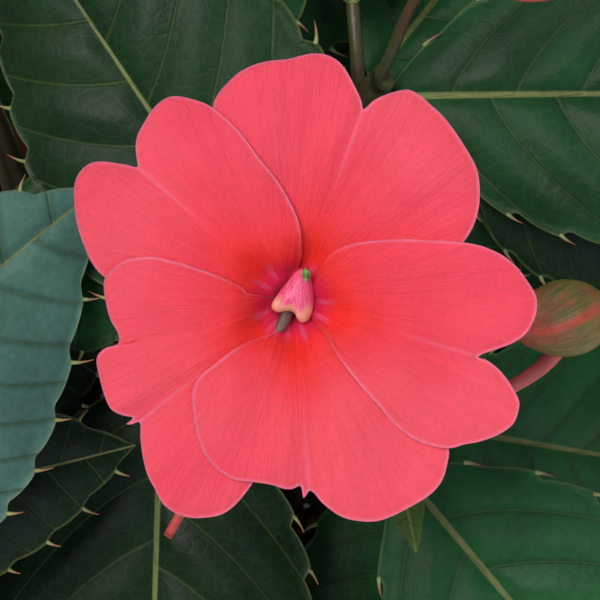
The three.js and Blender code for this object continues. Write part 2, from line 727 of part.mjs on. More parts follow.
function soilSolid(shoots) {
  const sides = POT.sides;
  const waist = POT.height - BAND.height;
  const foot = POT.floor + FIT_GAP;
  const ring = (radius, heightAt) =>
    Array.from({ length: sides }, (_, i) => {
      const a = (2 * Math.PI * i) / sides;
      const [x, y] = [radius * Math.cos(a), radius * Math.sin(a)];
      return new THREE.Vector3(x, y, heightAt(x, y));
    });
  const [low, mid, top] = [foot, waist, soilTop - 1].map((z) => wallAt(z) - FIT_GAP * 1.2);
  const rings = [
    ring(0.5, () => foot), ring(low, () => foot), ring(mid, () => waist), ring(top, () => soilTop - 1),
  ];
  for (let k = SOIL.rings; k >= 1; k--) rings.push(ring(top * 0.97 * (k / SOIL.rings) ** 0.9, soilHeight));
  rings.push(ring(1, soilHeight));
  let soil = solidOf(loft(rings));
  for (const shoot of shoots) {
    const { v0, v1, v2 } = shoot.line;
    const deeper = new THREE.QuadraticBezierCurve3(sum(v0, [UP, -FIT_GAP]), v1, v2);
    const radius = (t) => stemRadius(t) + FIT_GAP * 1.4;
    const hole = tube(deeper, even(STEM.steps).slice(0, 3), STEM.sides, radius);
    soil = soil.subtract(solidOf(hole));
  }
  return soil;
}

// The scene graph

function mesh(name, solid, look) {
  const material = new THREE.MeshStandardMaterial({ ...COLOURS[look], metalness: 0 });
  const made = new THREE.Mesh(geometryOf(solid), material);
  made.name = name;
  return made;
}

const plan = planPlant();
const plant = new THREE.Group();
const pot = new THREE.Group();
pot.add(mesh("pot", potSolid(), "clay"), mesh("potting_mix", soilSolid(plan.shoots), "mix"));

const foliage = new THREE.Group();
for (const shoot of plan.shoots)
  foliage.add(mesh(`shoot_${shoot.name}`, shootSolid(plan, shoot), "foliage"));

const flowers = new THREE.Group();
plan.blooms.forEach((bloom) => {
  flowers.add(
    mesh(`petals_${bloom.shoot}`, petalsSolid(bloom), "petals"),
    mesh(`column_${bloom.shoot}`, solidOf(columnGeometry(bloom)), "column"),
    mesh(`spur_${bloom.shoot}`, calyxSolid(bloom), "spur"),
  );
});
plan.buds.forEach((bud) => flowers.add(mesh(`bud_${bud.shoot}`, budSolid(bud), "bud")));

plant.add(pot, foliage, flowers);
export default plant;
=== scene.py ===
"""A potted New Guinea impatiens, built as a Blender add-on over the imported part.

It makes the fine pot, potting mix, shoots, blooms and buds that stand for the part's plain ones,
by the same planting rule, and a soft studio stage. Lengths in the rule are millimetres.
"""
import math

import bpy
import numpy as np
from mathutils import Matrix


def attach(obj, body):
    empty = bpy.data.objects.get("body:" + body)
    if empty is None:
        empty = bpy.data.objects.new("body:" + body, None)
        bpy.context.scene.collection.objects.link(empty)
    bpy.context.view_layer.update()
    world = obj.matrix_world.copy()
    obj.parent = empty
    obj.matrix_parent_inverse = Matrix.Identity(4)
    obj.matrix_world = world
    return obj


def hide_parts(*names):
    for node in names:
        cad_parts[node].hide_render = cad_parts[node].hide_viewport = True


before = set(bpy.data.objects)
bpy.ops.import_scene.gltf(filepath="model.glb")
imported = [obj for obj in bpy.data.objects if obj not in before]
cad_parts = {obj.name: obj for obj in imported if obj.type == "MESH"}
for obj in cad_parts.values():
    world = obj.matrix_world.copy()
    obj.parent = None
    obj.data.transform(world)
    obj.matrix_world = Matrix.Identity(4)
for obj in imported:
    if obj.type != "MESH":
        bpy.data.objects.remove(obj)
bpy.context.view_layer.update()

bl_info = {
    "name": "Potted New Guinea Impatiens",
    "version": (1, 0, 0),
    "blender": (4, 5, 0),
    "location": "View3D > Sidebar > Impatiens",
    "description": "Builds a potted impatiens with toothed leaves and coral blooms",
    "category": "Object",
}

MM = 0.001
POT = {"rim": 80, "foot": 54, "height": 136, "wall": 6.5, "floor": 9}
BAND = {"height": 30, "proud": 4.5, "inset": 2.5}
DRAIN = {"radius": 6, "ring": 27, "count": 3}
SOIL = {"below": 17, "dome": 7, "lump": 1.6}
STEM = {"foot": 4.0, "top": 2.1, "depth": 26, "spread": 0.3, "knee": 1.25, "knee_height": 0.55,
        "joint": 0.55, "joint_length": 3}
BLOOM_RADIUS = 33
VIEW_ELEVATION = 58
LEAF = {"petiole": 13, "petiole_radius": 1.3, "width_share": 0.47, "keel": 0.2, "arch": 0.3,
        "foot_power": 0.85, "tip_power": 1.15, "widest": 0.4832 * 0.5292, "lean": 1.2}
YOUNG = {"length": (20, 30), "width_share": 0.36, "pitch": 62, "droop": 40, "petiole": 3}
WHORL = {"length": (0.9, 1.06), "below": (-3, 3), "turn": (-9, 9), "pitch": (-5, 5), "droop": (36, 58),
         "width": (0.92, 1.08), "roll": (-12, 12), "petiole": (0.9, 1.35), "upper_pitch": 14,
         "lower_pitch": 2}
CLEAR = {"gap": 2, "reach": 6.5, "rows": 12, "columns": 7, "spacing": 4, "bloom": 2.2}
FRONT_ROOM = {"depth": 52, "beside": 66}
LEAF_OVER_POT = 4
STALK = {"bloom_below": 5, "bud_below": 9, "from_stem": 0.42, "to_face": 0.38, "bloom_radius": 1.5,
         "bud_radius": 1.2, "taper": 0.4}
PETAL = {"start": 1.4, "claw": 4, "throat": 12, "dip": -3.52, "claw_step": 0.75, "step": 0.95, "slope": 0.07}
SPUR = [(0, -1, -9.2), (-2.4, -6, -15), (-8.4, -17.5, -21.6), (-14.6, -28.4, -22.6), (-19, -36, -19.6)]
STALK_END = (0, 2.2, -11.6)
# the width of one pixel of the view at the front bloom, and how far the view's middle is beside it
PIXEL = 0.1444
VIEW_SHIFT = 8 * PIXEL
BUD = {"length": 19, "radius": 6.2}
BUD_SPUR = [(1.2, -5.2, -3), (1.6, -10.5, -0.5), (3.2, -13.6, 6), (5, -12.8, 13), (6.4, -9.4, 18.5)]
SOIL_TOP = POT["height"] - SOIL["below"]


def direction(turn, elevation):
    a, e = math.radians(turn), math.radians(elevation)
    return np.array([math.cos(a) * math.cos(e), math.sin(a) * math.cos(e), math.sin(e)])


UP = np.array([0.0, 0.0, 1.0])
VIEW = direction(-90, VIEW_ELEVATION)


def placed(turn, pitch, droop, length, width, roll, petiole, below=8, skew=0, tone=None, cool=0):
    return {"turn": turn, "pitch": pitch, "droop": droop, "length": length, "width": width,
            "roll": roll, "petiole": petiole, "below": below, "skew": skew,
            "tone": tone, "cool": cool}


# Each shoot: its tip, the direction its leaves face where that isn't the usual one, the leaves
# that have a given place, and its whorls as (below the tip, leaves, length, first turn).
SHOOTS = [
    {"name": "front", "tip": (53, -72, 244), "light": VIEW,
     "placed": [placed(124, 6, 22, 112, 53, -25, 4, skew=0.07, tone=0.4),
                placed(310, 10, 14, 96, 50, 5, 12, tone=-1),
                placed(349, -20, 18, 84, 40, 0, 14, 18, tone=-1)],
     "whorls": [(36, 1, 70, 60)]},
    # painted shade: the middle shoot's first leaf is given a deep tone because it lies low in the plant's
    # shade
    {"name": "middle", "tip": (19, -39, 230), "light": VIEW,
     "placed": [placed(268, 2, 14, 106, 62, 8, 12, 12, 0.1, tone=0.7), placed(1, -2, 16, 76, 44, 0, 16, 26)],
     "whorls": [(12, 1, 66, 80), (46, 1, 78, 50)], "young": 0},
    {"name": "crown", "tip": (55, -17, 262), "light": direction(-90, 64),
     "placed": [placed(-1, 12, 14, 98, 50, 3, 4, tone=-0.3), placed(52, -3, 22, 84, 44, -6, 12, 24)],
     "whorls": [(10, 3, 74, 95), (40, 3, 86, 60)], "young": 0},
    {"name": "left_front", "tip": (-70, -93, 228), "light": VIEW,
     # painted sheen: this leaf's bluish sky reflection is laid into its colour
     "placed": [placed(40, 16, 28, 92, 56, 16, 6, skew=0.15, tone=-0.4, cool=1)],
     "whorls": [(10, 4, 88, 105), (38, 3, 92, 150)]},
    {"name": "top", "tip": (-24, 4, 272), "whorls": [(10, 5, 86, 20), (40, 4, 96, 50)]},
    {"name": "left", "tip": (-104, -14, 214), "whorls": [(10, 4, 88, 130), (40, 3, 92, 180)]},
    {"name": "back_left", "tip": (-66, 66, 236), "whorls": [(10, 5, 86, 100), (42, 2, 92, 60)]},
    {"name": "back", "tip": (22, 64, 254), "whorls": [(10, 5, 86, 70), (42, 2, 94, 20)]},
    {"name": "back_right", "tip": (92, 48, 226), "whorls": [(10, 4, 88, 10), (40, 3, 92, 60)]},
    {"name": "right", "tip": (122, -34, 206), "whorls": [(10, 4, 84, -30), (38, 3, 90, 15)]},
    {"name": "front_low", "tip": (-18, -114, 176), "whorls": [(10, 4, 84, -90), (38, 2, 88, -60)]},
]


def bloom(shoot, at, look, roll, size, traced=False):
    return {"shoot": shoot, "at": at, "look": look, "roll": roll, "size": size, "traced": traced}


BLOOMS = [
    bloom("front", (40, -78, 290), (-90, VIEW_ELEVATION), 0, 1, True),
    bloom("left_front", (-92, -118, 258), (-128, 44), 8, 0.94),
    bloom("top", (-34, 14, 312), (110, 76), 20, 0.96),
    bloom("left", (-132, -8, 244), (176, 40), -14, 0.92),
    bloom("back_left", (-84, 88, 268), (136, 48), 16, 0.95),
    bloom("back", (30, 92, 288), (76, 56), -10, 0.93),
    bloom("back_right", (118, 66, 258), (28, 42), -20, 0.95),
    bloom("right", (146, -58, 236), (-24, 38), 15, 0.9),
    bloom("front_low", (-8, -148, 208), (-94, 26), -12, 0.9),
]
BUDS = [
    bloom("right", (82, -59, 254), (-165, 20), 10, 1.0),
    bloom("crown", (69, -19, 296), (-30, 52), 0, 0.9),
    bloom("top", (-54, -22, 300), (-150, 50), 0, 0.8),
    bloom("left", (-112, -44, 246), (-140, 45), 0, 0.75),
    bloom("back_left", (-38, 82, 268), (100, 55), 0, 0.85),
    bloom("back_right", (84, 82, 252), (70, 50), 0, 0.7),
]
# Each petal of the front bloom, keyed by how far forward it is stacked: the number of the point in
# its deepest notch, and its rim from one side round to the other, in its face's plane
TRACED_PETALS = [
    (13, [(-6, 14), (-10, 22), (-11.4, 28.2), (-8.5, 32.1), (-6.2, 33.6), (-3.5, 34.4), (-0.7, 34.7),
          (2.7, 35.5), (4.8, 35.4), (6.6, 34.5), (7.8, 33.1), (9, 30.9), (10, 28.7), (10.3, 27.5),
          (11.7, 28.7), (13.3, 29.5), (16.6, 30.3), (18.1, 29.7), (19.9, 28.2), (22.1, 26.1), (25.4, 21.2),
          (26.6, 18.8), (27, 16.3), (26.9, 13.4), (26, 10.4), (24, 7.8), (14, 5)]),
    (15, [(1.4, 6.4), (1.2, 10.3), (0, 13.6), (-2.2, 17.3), (-4.8, 20.5), (-7.7, 24.4), (-11.3, 27.6),
          (-13.1, 28.5), (-16.9, 29.3), (-18.6, 28.7), (-20.1, 27.3), (-21.2, 25.6), (-22.2, 23.8),
          (-22.5, 22.2), (-22.4, 20.5), (-22.3, 19.2), (-24, 19.5), (-27.6, 19.9), (-29.2, 19.5),
          (-30.6, 18.1), (-31.2, 16.5), (-31.2, 13.6), (-30.9, 11), (-29.9, 7.8), (-28.7, 5.2), (-27, 3.3),
          (-22, 1), (-11, 0)]),
    (25, [(-6.2, 0.6), (-6.9, 1.6), (-8.8, 2.7), (-12, 4), (-17.9, 5.8), (-20.1, 6.2), (-22.5, 6.1),
          (-24.4, 5.6), (-26.1, 4.2), (-26.9, 3), (-26.9, 0.9), (-26, -2.9), (-25.1, -4.5), (-24.8, -5.6),
          (-25.1, -6.4), (-26.6, -6.8), (-27.7, -7.7), (-28, -8.7), (-27.7, -10.5), (-26.6, -14.3),
          (-25.8, -15.7), (-24.3, -16.5), (-22.8, -16.9), (-23.7, -17.8), (-22.9, -17.8), (-21.9, -17.5),
          (-21.7, -20.2), (-20.8, -24.7), (-19.6, -27.1), (-18.6, -29), (-16.8, -30.5), (-14.6, -31.2),
          (-12.4, -31.2), (-10.3, -30.8), (-8.5, -29.7), (-5.5, -26), (-3, -20), (-1, -9)]),
    (17, [(-2.3, -4.8), (-5.1, -5.5), (-7.9, -6.8), (-10.8, -9), (-13.3, -11.1), (-14.2, -12.7),
          (-14.3, -14.6), (-13.6, -19.3), (-12.4, -22.2), (-10.8, -24.1), (-8.5, -25.6), (-5.5, -26),
          (-2.9, -26.4), (-1, -27), (0.1, -27), (1.2, -26.6), (1.7, -28.3), (2.6, -27.3), (4.5, -29.2),
          (7.1, -31), (9.7, -31.6), (12.1, -31.6), (14.3, -30.9), (16.9, -29.6), (19.9, -27.7),
          (21.5, -25.7), (22.2, -23.4), (22.4, -21.2), (19, -14), (8, -6)]),
    (16, [(4.6, 5.5), (5.9, 6.8), (7.8, 7.8), (10.7, 8.4), (15.5, 8.7), (20.4, 8.5), (24.5, 8.2), (27, 7.7),
          (29.9, 6.4), (32.1, 4.6), (33.5, 2.7), (34.7, 0.7), (34.9, -0.9), (34.4, -3), (33.2, -4.9),
          (31.3, -6.2), (26.6, -8.1), (28, -8.7), (29.6, -10), (31, -11.8), (32.3, -14.3), (32.3, -15.5),
          (31.6, -17.5), (29.9, -18.9), (27, -20.1), (24.5, -20.6), (22.7, -21.1), (20.4, -20.9),
          (17.9, -20.1), (15, -18.1), (12, -14.7), (8.4, -10.5), (5.9, -7.1), (4.8, -4.8)]),
]
# The petals of the other blooms: stack, turn, half width in degrees and length
PLAIN_PETALS = [(0, 90, 52, 1.0), (1, 158, 42, 0.97), (4, 20, 42, 0.99), (2, 232, 44, 1.06),
                (3, 306, 44, 1.04)]


class Draw:
    """A seeded sequence of numbers."""

    def __init__(self, seed):
        self.state = seed

    def between(self, low, high):
        self.state = (self.state * 1664525 + 1013904223) % 4294967296
        return low + ((high - low) * self.state) / 4294967296


def unit(v):
    return v / np.linalg.norm(v, axis=-1, keepdims=True)


def bezier(*points):
    points = np.array(points, float)
    n = len(points) - 1
    weights = [math.comb(n, i) for i in range(n + 1)]
    terms = list(enumerate(zip(weights, points)))
    return lambda t: sum(w * (1 - t) ** (n - i) * t**i * p for i, (w, p) in terms)


def spline(points, even=True):
    """A curve through the points: uniform, or spaced by the root of their distances."""
    points = np.array(points, float)
    ends = [2 * points[0] - points[1], 2 * points[-1] - points[-2]]
    held = np.vstack([ends[0], points, ends[1]])
    last = len(points) - 2

    def at(t):
        p = (len(points) - 1) * t
        k = min(int(math.floor(p)), last)
        w = p - k
        p0, p1, p2, p3 = held[k : k + 4]
        if even:
            t1, t2 = 0.5 * (p2 - p0), 0.5 * (p3 - p1)
        else:
            d0, d1, d2 = (max(np.linalg.norm(b - a), 1e-4) ** 0.5 for a, b in ((p0, p1), (p1, p2), (p2, p3)))
            t1 = ((p1 - p0) / d0 - (p2 - p0) / (d0 + d1) + (p2 - p1) / d1) * d1
            t2 = ((p2 - p1) / d1 - (p3 - p1) / (d1 + d2) + (p3 - p2) / d2) * d1
        return p1 + t1 * w + (3 * (p2 - p1) - 2 * t1 - t2) * w**2 + (2 * (p1 - p2) + t1 + t2) * w**3

    return at


def tangent(curve, t):
    return unit(curve(min(t + 1e-4, 1)) - curve(max(t - 1e-4, 0)))


def length_of(curve, steps=200):
    dots = np.array([curve(i / steps) for i in range(steps + 1)])
    return float(np.linalg.norm(np.diff(dots, axis=0), axis=1).sum())


# The planting rule, the same as the part's


def make_shoot(spec):
    tip = np.array(spec["tip"], float)
    foot = np.array([tip[0] * STEM["spread"], tip[1] * STEM["spread"], SOIL_TOP - STEM["depth"]])
    rise = (tip[2] - SOIL_TOP) * STEM["knee_height"]
    knee = np.array([foot[0] * STEM["knee"], foot[1] * STEM["knee"], SOIL_TOP + rise])
    line = bezier(foot, knee, tip)
    return {**spec, "tip": tip, "line": line, "length": length_of(line)}


def node_on(shoot, below):
    t = 1 - below / shoot["length"]
    return shoot["line"](t), tangent(shoot["line"], t)


def make_leaf(shoot, spec, light=None):
    root, along = node_on(shoot, spec["below"])
    if light is None:
        light = shoot.get("light")
    if light is None:
        light = unit(UP + along * LEAF["lean"])
    east = unit(np.array([1.0, 0, 0]) - light * light[0])
    north = np.cross(light, east)
    a = math.radians(spec["turn"])
    out = east * math.cos(a) + north * math.sin(a)
    return {**spec, "shoot": shoot["name"], "root": root, "out": out, "light": light,
            "side": np.cross(light, out), "total": spec["petiole"] + spec["length"]}


def blade(leaf, s):
    """Half the blade's width at shares of its length."""
    return (leaf["width"] / 2) * s ** LEAF["foot_power"] * (1 - s) ** LEAF["tip_power"] / LEAF["widest"]


def leaf_frame(leaf, distance):
    """The leaf's middle line at distances from the stem, with its across and upward directions."""
    share = np.atleast_1d(distance)[:, None] / leaf["total"]
    start, bend = math.radians(leaf["pitch"]), math.radians(leaf["droop"])
    angle = start - bend * share
    size = leaf["total"] / bend
    at = (leaf["root"] + leaf["out"] * size * (math.sin(start) - np.sin(angle))
          + leaf["light"] * size * (np.cos(angle) - math.cos(start)))
    normal = leaf["light"] * np.cos(angle) - leaf["out"] * np.sin(angle)
    roll = math.radians(leaf["roll"]) * share
    across = leaf["side"] * np.cos(roll) + normal * np.sin(roll)
    up = normal * np.cos(roll) - leaf["side"] * np.sin(roll)
    return at, across, up


def thing(points, normals=None, radius=0.0):
    points = np.array(points)
    middle = points.mean(axis=0)
    size = np.linalg.norm(points - middle, axis=1).max()
    return {"points": points, "normals": normals, "radius": radius, "middle": middle, "size": size}


def leaf_thing(leaf):
    rows, sides = CLEAR["rows"], CLEAR["columns"] // 2
    s = 0.05 + 0.94 * np.arange(rows) / (rows - 1)
    at, across, up = leaf_frame(leaf, leaf["petiole"] + s * leaf["length"])
    half = blade(leaf, s)[:, None]
    points = []
    for v in np.arange(-sides, sides + 1) / sides:
        wide = half * (1 - leaf.get("skew", 0) * v)
        points.append(at + across * v * wide + up * wide * (LEAF["keel"] * abs(v) - LEAF["arch"] * v * v))
    points = np.stack(points, axis=1).reshape(-1, 3)
    return thing(points, np.repeat(up, CLEAR["columns"], axis=0))


def line_thing(curve, radius, start=0.0):
    count = max(2, math.ceil(length_of(curve) / CLEAR["spacing"]))
    return thing([curve(start + (1 - start) * i / count) for i in range(count + 1)], None, radius)


def heights_over(points, surface):
    apart = points[:, None] - surface["points"]
    far = (apart**2).sum(axis=2)
    k = far.argmin(axis=1)
    row = np.arange(len(points))
    height = (apart[row, k] * surface["normals"][k]).sum(axis=1)
    return height[far[row, k] - height**2 < CLEAR["reach"] ** 2]


def meets(a, b):
    if np.linalg.norm(a["middle"] - b["middle"]) > a["size"] + b["size"] + CLEAR["reach"]:
        return False
    gap = CLEAR["gap"] + a["radius"] + b["radius"]
    for over, surface in ((a, b), (b, a)):
        if surface["normals"] is None:
            continue
        heights = heights_over(over["points"], surface)
        if len(heights) and heights.min() < gap and heights.max() > -gap:
            return True
    return False


TRIES = [(size, turn, pitch) for size in (1, 0.88, 0.76) for turn in (0, 12, -12, 24, -24)
         for pitch in (0, 8, -8, 16, -16, 24, -24, 34)]


def hides_front_bloom(made):
    off = made["points"] - np.array(BLOOMS[0]["at"], float)
    depth = off @ VIEW
    beside = np.linalg.norm(off - depth[:, None] * VIEW, axis=1)
    return bool(((depth > -FRONT_ROOM["depth"]) & (beside < FRONT_ROOM["beside"])).any())


def place_leaf(shoot, spec, room):
    for size, turn, pitch in TRIES:
        leaf = make_leaf(shoot, {**spec, "turn": spec["turn"] + turn, "pitch": spec["pitch"] + pitch,
                                 "length": spec["length"] * size, "width": spec["width"] * size})
        made = leaf_thing(leaf)
        if hides_front_bloom(made) or made["points"][:, 2].min() < POT["height"] + LEAF_OVER_POT:
            continue
        if any(meets(made, other) for other in room):
            continue
        room.append(made)
        return leaf
    return None


def face_frame(spec):
    look = direction(*spec["look"])
    east = unit(np.cross(UP, look))
    north = np.cross(look, east)
    a = math.radians(spec["roll"])
    right = east * math.cos(a) + north * math.sin(a)
    return {"centre": np.array(spec["at"], float), "axes": np.array([right, np.cross(look, right), look])}


def in_face(each, points):
    """Points given in the face of a bloom or bud, as places on the plant."""
    return each["face"]["centre"] + (np.asarray(points, float) * each["size"]) @ each["face"]["axes"]


def make_stalk(shoot, each, end, below):
    root, along = node_on(shoot, below)
    top = in_face(each, end)
    reach = np.linalg.norm(top - root)
    return bezier(root, root + along * reach * STALK["from_stem"],
                  top - each["face"]["axes"][2] * reach * STALK["to_face"], top)


def bloom_thing(each):
    points = []
    for radius, count in ((0, 1), (11, 6), (22, 12), (33, 18)):
        for i in range(count):
            a = 2 * math.pi * i / count
            points.append((radius * math.cos(a), radius * math.sin(a), 0))
    return thing(in_face(each, points), np.tile(each["face"]["axes"][2], (len(points), 1)), CLEAR["bloom"])


def young_leaves(shoot, draw):
    first = draw.between(0, 360)
    leaves = []
    for turn in (0, 180)[: shoot.get("young", 2)]:
        length = draw.between(*YOUNG["length"])
        spec = placed(first + turn, YOUNG["pitch"], YOUNG["droop"], length, length * YOUNG["width_share"], 0,
                      YOUNG["petiole"], below=1)
        leaves.append(make_leaf(shoot, {**spec, "young": True}, node_on(shoot, 1)[1]))
    return leaves


def rims_of(spec, draw):
    """The rims of a bloom's petals: their stack, the share along them of their notch, and the curve."""
    if spec["traced"]:
        return [(stack, notch / (len(rim) - 1), spline(rim, even=False))
                for stack, (notch, rim) in enumerate(TRACED_PETALS)]
    rims = []
    for stack, turn, spread, reach in PLAIN_PETALS:
        half = spread * draw.between(0.94, 1.06)
        far = BLOOM_RADIUS * reach * draw.between(0.95, 1.04)
        notch = draw.between(0.07, 0.17)
        aside = draw.between(-0.14, 0.14)
        lobes = [(-1, 0.42), (-0.84, 0.85), (-0.42, 1.01), (aside, 1 - notch),
                 (0.42, 1.01), (0.84, 0.85), (1, 0.42)]
        rim = []
        for across, out in lobes:
            a = math.radians(turn + half * across)
            rim.append((far * out * math.cos(a), far * out * math.sin(a)))
        rims.append((stack, 0.5, spline(rim, even=False)))
    return rims


def plan_whorl_leaf(whorl, number, low, draw):
    """The wanted place and size of one leaf of a whorl."""
    below, count, length, first = whorl
    long = length * draw.between(*WHORL["length"])
    spec = {"below": below + draw.between(*WHORL["below"])}
    spec["turn"] = first + (360 * number) / count + draw.between(*WHORL["turn"])
    spec["pitch"] = WHORL["lower_pitch" if low else "upper_pitch"] + draw.between(*WHORL["pitch"])
    spec["droop"] = draw.between(*WHORL["droop"])
    spec["length"] = long
    spec["width"] = long * LEAF["width_share"] * draw.between(*WHORL["width"])
    spec["roll"] = draw.between(*WHORL["roll"])
    spec["petiole"] = LEAF["petiole"] * draw.between(*WHORL["petiole"])
    return spec


def plan_plant():
    shoots = [make_shoot(spec) for spec in SHOOTS]
    named = {shoot["name"]: shoot for shoot in shoots}
    room = [line_thing(s["line"], STEM["foot"] - 1, 0.3) for s in shoots]

    def stand(spec, end, below):
        each = {**spec, "face": face_frame(spec)}
        return {**each, "stalk": make_stalk(named[spec["shoot"]], each, end, below)}

    petal_draw = Draw(41)
    blooms = [{**stand(spec, STALK_END, STALK["bloom_below"]), "rims": rims_of(spec, petal_draw)}
              for spec in BLOOMS]
    bud_ends = [(0, 0, -0.5 * BUD["length"]), (0, 0, 0.5 * BUD["length"])]
    buds = [stand(spec, (0, 0, -BUD["length"] * 0.5 - 0.6), STALK["bud_below"]) for spec in BUDS]
    for each in blooms:
        room.append(bloom_thing(each))
        room.append(line_thing(spline(in_face(each, SPUR)), 1))
    for each in buds:
        room.append(line_thing(bezier(*in_face(each, bud_ends)), BUD["radius"]))
        room.append(line_thing(spline(in_face(each, BUD_SPUR)), 1))
    for each in blooms + buds:
        room.append(line_thing(each["stalk"], 1, 0.12))
    young_draw = Draw(27)
    young = [leaf for shoot in shoots for leaf in young_leaves(shoot, young_draw)]
    room.extend(leaf_thing(leaf) for leaf in young)
    leaves = []
    for shoot in shoots:
        for spec in shoot.get("placed", []):
            leaves.append({**make_leaf(shoot, spec), "near": True})
            room.append(leaf_thing(leaves[-1]))
    draw = Draw(7)
    for tier in (0, 1):
        for shoot in shoots:
            for whorl in shoot["whorls"][tier : tier + 1]:
                for number in range(whorl[1]):
                    leaf = place_leaf(shoot, plan_whorl_leaf(whorl, number, tier == 1, draw), room)
                    if leaf:
                        leaves.append(leaf)
    return {"shoots": shoots, "blooms": blooms, "buds": buds, "leaves": leaves + young}


# Meshes


class Shape:
    """The points, faces, materials and point values of one piece, in millimetres."""

    def __init__(self):
        self.points, self.faces, self.looks, self.values, self.count = [], [], [], {}, 0

    def add(self, points, faces, look=0, **values):
        points = np.asarray(points, float)
        flat = points.reshape(-1, 3)
        for name in set(self.values) | set(values):
            held = self.values.setdefault(name, [np.zeros(self.count)] if self.count else [])
            held.append(np.broadcast_to(values.get(name, 0.0), points.shape[:-1]).ravel())
        self.points.append(flat)
        for part in faces:
            self.faces.append(part + self.count)
            self.looks.append(np.full(len(part), look))
        self.count += len(flat)

    def sheet(self, top, thick, look=0, **values):
        """A thin closed sheet under a grid of points."""
        rows, columns = top.shape[:2]
        rising = np.gradient(top, axis=0)
        normal = unit(np.cross(np.gradient(top, axis=1), rising) + 1e-12)
        both = np.stack([top, top - normal * np.broadcast_to(thick, (rows, columns))[..., None]])
        n = np.arange(rows * columns).reshape(rows, columns)
        under = n + rows * columns
        edge = np.concatenate([n[0, :-1], n[:-1, -1], n[-1, :0:-1], n[:0:-1, 0]])
        below = edge + rows * columns
        border = np.stack([edge, below, np.roll(below, -1), np.roll(edge, -1)], axis=1)
        doubled = {k: np.broadcast_to(v, (2, rows, columns)) for k, v in values.items()}
        doubled["under"] = np.broadcast_to(np.array([0.0, 1.0])[:, None, None], (2, rows, columns))
        self.add(both, [quads(n)[:, ::-1], quads(under), border[:, ::-1]], look, **doubled)

    def tubes(self, lines, radii, sides, look=0, **values):
        """Tubes with flat ends round lines of points."""
        rings = rings_round(lines, radii, sides)
        many, long = rings.shape[:2]
        n = np.arange(many * long * sides).reshape(many, long, sides)
        walls = np.concatenate([closed(each) for each in n])
        ends = np.concatenate([n[:, 0, ::-1], n[:, -1]])
        spread = {k: np.broadcast_to(np.asarray(v, float)[..., None], rings.shape[:3])
                  if np.ndim(v) else v for k, v in values.items()}
        self.add(rings, [walls[:, ::-1], ends[:, ::-1]], look, **spread)

    def bare(self, name):
        """The shape as an object in the scene."""
        mesh = bpy.data.meshes.new(name)
        points = np.concatenate(self.points) * MM
        corners = np.concatenate([part.ravel() for part in self.faces])
        sizes = np.concatenate([np.full(len(part), part.shape[1]) for part in self.faces])
        mesh.vertices.add(len(points))
        mesh.vertices.foreach_set("co", points.ravel())
        mesh.loops.add(len(corners))
        mesh.loops.foreach_set("vertex_index", corners)
        mesh.polygons.add(len(sizes))
        mesh.polygons.foreach_set("loop_start", np.cumsum(sizes) - sizes)
        mesh.polygons.foreach_set("material_index", np.concatenate(self.looks))
        mesh.polygons.foreach_set("use_smooth", np.ones(len(sizes), bool))
        for key, held in self.values.items():
            mesh.attributes.new(key, "FLOAT", "POINT").data.foreach_set("value", np.concatenate(held))
        mesh.update(calc_edges=True)
        mesh.validate()
        made = bpy.data.objects.new(name, mesh)
        bpy.context.scene.collection.objects.link(made)
        return made

    def piece(self, name, materials, slot, *nodes):
        """The shape as an object that stands for the part's nodes."""
        made = self.bare(name)
        for material in materials:
            made.data.materials.append(material)
        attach(made, "root")
        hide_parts(*nodes)
        return made


def quads(n):
    """The faces of a grid of point numbers."""
    return np.stack([n[:-1, :-1], n[1:, :-1], n[1:, 1:], n[:-1, 1:]], axis=-1).reshape(-1, 4)


def closed(n):
    """The faces of a grid whose last column joins its first."""
    return quads(np.concatenate([n, n[:, :1]], axis=1))


def wrapped(angle):
    """An angle brought to within half a turn either way."""
    return (angle + math.pi) % (2 * math.pi) - math.pi


def rings_round(lines, radii, sides):
    """Rings of points round lines, as (line, ring, side, 3), that don't twist along them."""
    lines = np.asarray(lines, float)
    steps = unit(np.gradient(lines, axis=1))
    beside = np.zeros_like(steps)
    upright = abs(steps[:, 0, 2:]) > 0.9
    beside[:, 0] = unit(np.cross(steps[:, 0], np.where(upright, [1.0, 0, 0], [0, 0, 1.0])))
    for k in range(1, lines.shape[1]):
        carried = beside[:, k - 1]
        beside[:, k] = unit(carried - steps[:, k] * (carried * steps[:, k]).sum(-1, keepdims=True))
    other = np.cross(steps, beside)
    turn = 2 * math.pi * np.arange(sides)[:, None] / sides
    ring = beside[:, :, None] * np.cos(turn) + other[:, :, None] * np.sin(turn)
    return lines[:, :, None] + ring * np.broadcast_to(radii, lines.shape[:2])[..., None, None]


def step_up(low, high, x):
    """A smooth rise from 0 at low to 1 at high."""
    t = np.clip((x - low) / (high - low), 0, 1)
    return t * t * (3 - 2 * t)


def blob_noise(points, scale, seed, waves=6):
    """A cheap smooth noise from -1 to 1, from a few crossed waves."""
    rng = np.random.default_rng(seed)
    total = 0.0
    for _ in range(waves):
        way, start = rng.normal(size=3), rng.uniform(0, 2 * math.pi)
        total = total + np.sin((points @ way) / scale + start)
    return total / 3.5


# Leaves

LEAF_GRID = {"near": (132, 37), "young": (26, 9), "plain": (64, 15), "ends": (0.004, 0.996), "crowd": 1.35}
